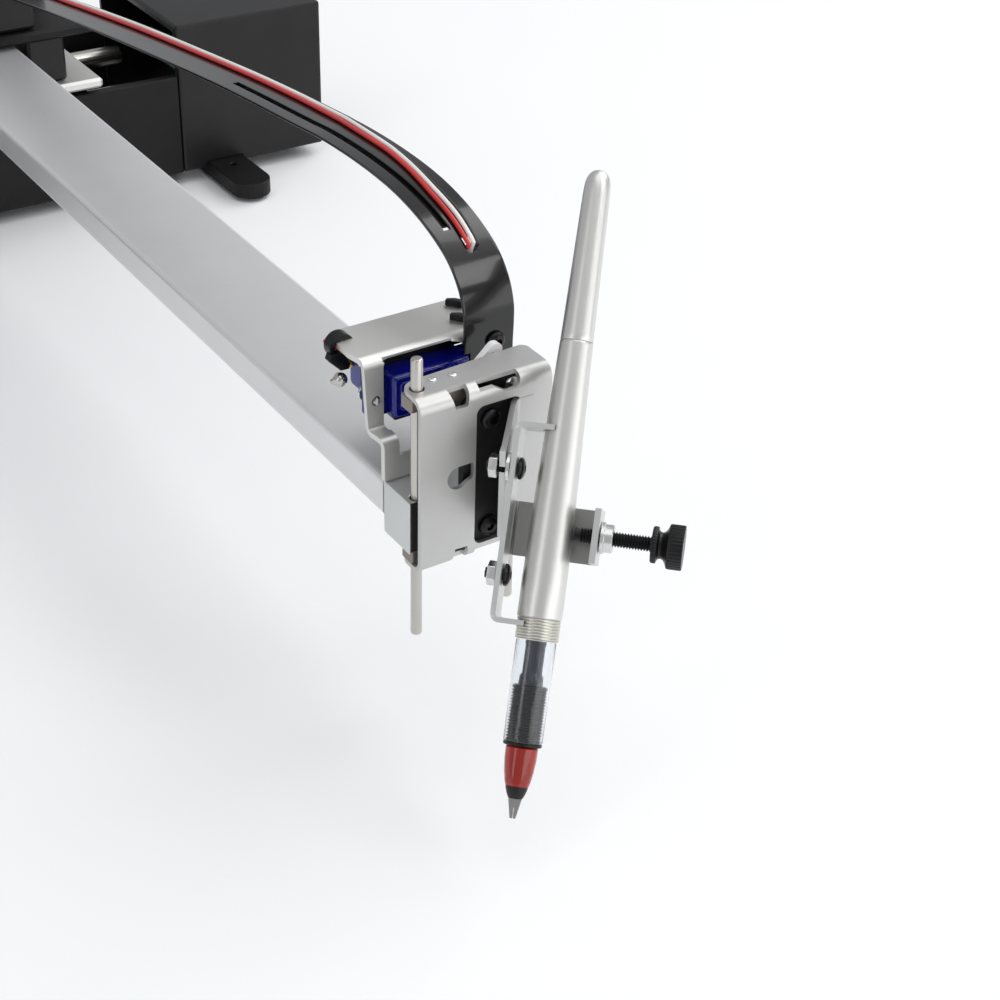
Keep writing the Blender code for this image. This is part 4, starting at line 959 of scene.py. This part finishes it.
def build_clip():
    seat = pen_place()
    face = -10.75
    fold = bent([(-1.9, 38.5), (face, 38.5), (face, -9.1), (-1.9, -9.1)], 1.5, 8)
    clip = plate("clip_sheet", "clip", [thickened(fold, 1.3)], 10.0, seat @ ACROSS.to_4x4())
    strap_path = bent([(face, 3.6), (face, 7.5), (11.2, 7.5), (11.2, -5.2)], 1.6, 8)
    strap = plate("strap", "clip", [thickened(strap_path, SHEET_THICK)], 13.4, pen_place(CLAMP_Z))
    join_cut(clip, [strap], "UNION")
    cuts = [bar("notch", "clip", (0, 0, 35), (0, 0, 43), 5.2, 48, seat),
            bar("notch", "clip", (0, 0, -13), (0, 0, -5), 5.85, 48, seat),
            bar("nut_way", "clip", (9, 0, CLAMP_Z), (17, 0, CLAMP_Z), 2.3, 32, seat)]
    cuts += [bar("way", "clip", (-25, 0, z), (-8, 0, z), 1.7, 24, seat) for z in CLIP_SCREWS.values()]
    join_cut(clip, cuts)
    round_edges(clip, 0.2, 2, 42)
    # The strap's inner back wall takes the darker metal: painted shade and a painted dark reflection of the
    # pen.
    clip.data.materials.append(M["strap"])
    local = seat.inverted() @ clip.matrix_world
    for face in clip.data.polygons:
        middle, facing = local @ face.center / MM, local.to_3x3() @ face.normal
        if 6.0 < middle.y and middle.x < 10.6 and abs(facing.y) > 0.8:
            face.material_index = 1
    keep(clip, "lift", ["pen_clip"])

    for label, z in CLIP_SCREWS.items():
        socket_screw(f"clip_screw_{label}_fine", pen_place(z, HEAD_SEAT) @ OUTWARD, 2.75, 1.65, "lift",
                     [f"clip_screw_{label}"], shank=(1.45, HEAD_SEAT - nut_face(label) + 2.9))
        nut = plate(f"clip_nut_{label}_fine", "zinc", [circle(0, 0, 3.1, 6), circle(0, 0, 1.6, 24)], 2.2,
                    pen_place(z, nut_face(label)) @ INWARD @ Matrix.Translation((0, 0, 1.15 * MM)))
        round_edges(nut, 0.25, 2, 50)
        keep(nut, "lift", [f"clip_nut_{label}"])
    width = abs(nut_face("A") + 11.4) - 1.5 - 0.9
    ring = [(1.75, width), (3.4, width), (3.6, width - 0.15), (3.6, 0.15), (3.4, 0), (1.75, 0), (1.75, width)]
    keep(lathe("clip_washer", "zinc", ring, pen_place(CLIP_SCREWS["A"], -11.7) @ INWARD, 40), "lift",
         ["clip_spacer"])
    sleeve = [(2.05, 3.0), (3.3, 3.0), (3.5, 2.8), (3.5, 1.0), (3.9, 0.8), (3.9, 0.1), (3.8, 0), (2.05, 0),
              (2.05, 3.0)]
    keep(lathe("insert_fine", "zinc", sleeve, pen_place(CLAMP_Z, 12.25) @ OUTWARD, 48), "lift", ["insert_nut"])


def nut_face(label):
    """Where a clip nut's near face lies along the seat's x, read back from its CAD solid."""
    inverse = pen_place().inverted()
    co = [inverse @ v.co for v in frame["nodes"][f"clip_nut_{label}"].data.vertices]
    return max(p.x for p in co) / MM


def build_thumb_screw():
    profile = [(0, 32.3), (5.3, 32.3), (5.5, 32.1), (5.5, 28.9), (5.35, 28.55), (4.2, 28.1), (3.5, 27.6),
               (3.2, 27.0), (3.35, 26.4), (3.9, 26.05), (4.4, 25.9), (4.5, 25.7), (4.5, 24.9), (4.3, 24.6),
               (2.0, 24.5)]
    pitch, z = 0.7, 24.4
    while z - pitch > 6.4:
        root = z - pitch / 2
        profile += [(1.9, z - 0.06), (1.9, z - 0.16), (1.52, root - 0.03), (1.52, root - 0.11)]
        z -= pitch
    profile += [(1.85, 6.0), (1.8, 5.7), (0, 5.7)]
    screw = lathe("thumb_screw_fine", "deep_black", profile, pen_place(CLAMP_Z) @ OUTWARD, 144, 30)
    for v in screw.data.vertices:                          # straight knurling round both grips
        r = Vector((v.co.x, v.co.y)).length
        if (r > 5.2 * MM and 28.4 * MM < v.co.z) or (r > 4.35 * MM and v.co.z < 26.0 * MM):
            shrink = 1 - 0.035 * (0.5 + 0.5 * cos(36 * atan2(v.co.y, v.co.x)))
            v.co.x *= shrink
            v.co.y *= shrink
    keep(screw, "clamp", ["thumb_screw"])


# ------------------------------------------------------------------ pen
def build_pen():
    seat = pen_place()
    tail = [(0, 103.0), (0.9, 102.9), (1.7, 102.55), (2.35, 101.9), (2.85, 101.0), (3.15, 99.8), (3.3, 98.2),
            (3.38, 96.0), (3.72, 78.0), (4.03, 62.0), (4.06, 60.55), (3.98, 60.42), (0, 60.42)]
    keep(lathe("pen_tail_fine", "pen", tail, seat, 96), "pen", ["pen_tail"])
    barrel = [(0, 60.3), (4.02, 60.3), (4.1, 60.15), (4.1, 59.8), (4.6, 42.0), (5.13, 22.0), (5.38, 10.0),
              (5.5, 2.0), (5.5, -7.0), (5.42, -7.3), (5.2, -7.45), (0, -7.45)]
    keep(lathe("pen_barrel_fine", "pen", barrel, seat, 96), "pen", ["pen_barrel"])
    collar = [(0, -7.5), (5.0, -7.5)]
    z = -7.7
    while z > -12.3:
        collar += [(5.3, z), (5.36, z - 0.12), (5.3, z - 0.42), (5.12, z - 0.52), (5.12, z - 0.62)]
        z -= 0.72
    collar += [(5.2, -12.6), (5.0, -12.7), (0, -12.7)]
    keep(lathe("pen_collar_fine", "brass", collar, seat, 96, 30), "pen", ["pen_collar"])
    glass = [(4.35, -12.9), (4.85, -12.9), (4.95, -13.2), (4.85, -24.5), (4.8, -37.0), (4.6, -37.5),
             (4.35, -37.5), (4.35, -12.9)]
    keep(lathe("pen_window_fine", "clear", glass, seat, 96), "pen", ["pen_window"])
    ink = [(0, -12.9), (2.6, -12.9), (2.6, -14.0), (2.45, -14.3), (2.45, -21.0), (2.9, -21.6), (3.0, -23.6),
           (0, -23.6)]
    keep(lathe("pen_converter", "ink", ink, seat, 64), "pen", ())
    ribs = [(0, -23.7), (3.6, -23.7), (4.28, -24.0)]
    z = -24.3
    while z > -36.4:
        ribs += [(4.28, z), (4.28, z - 0.3), (3.95, z - 0.38), (3.95, z - 0.62), (4.28, z - 0.7)]
        z -= 0.72
    ribs += [(4.28, -37.4), (4.75, -37.6), (4.7, -38.2), (4.3, -38.4), (0, -38.4)]
    keep(lathe("pen_section_fine", "deep_black", ribs, seat, 96, 30), "pen", ["pen_section"])
    red = [(0, -38.5), (3.7, -38.5), (3.95, -38.8), (3.9, -41.5), (3.6, -44.5), (3.2, -46.8), (2.85, -48.0),
           (0, -48.0)]
    keep(lathe("pen_red_fine", "red", red, seat, 96), "pen", ["pen_red_collar"])
    flat = seat @ ACROSS.to_4x4()
    wedge = [(-1.2, -39.5), (-2.0, -47.0), (2.0, -47.0), (1.2, -39.5)]
    feed = plate("pen_feed", "satin_black", [wedge], 1.0, flat)
    keep(feed, "pen", ())
    band = [(0, -48.0), (2.75, -48.0), (2.65, -48.8), (2.1, -50.3), (1.7, -51.0), (0, -51.0)]
    keep(lathe("pen_band", "satin_black", band, seat, 64), "pen", ())
    blade = [(-1.75, -50.2), (-1.65, -51.0), (-0.7, -55.8), (0.7, -55.8), (1.65, -51.0), (1.75, -50.2)]
    nib = plate("pen_nib_fine", "nib", [blade], 0.9, flat)
    slot = [(-0.07, -53.2), (-0.07, -57), (0.07, -57), (0.07, -53.2)]
    join_cut(nib, [plate("nib_slot", "nib", [slot], 3, flat)])
    round_edges(nib, 0.12, 2, 40)
    keep(nib, "pen", ["pen_nib"])


build_lift()
build_clip()
build_thumb_screw()
build_pen()
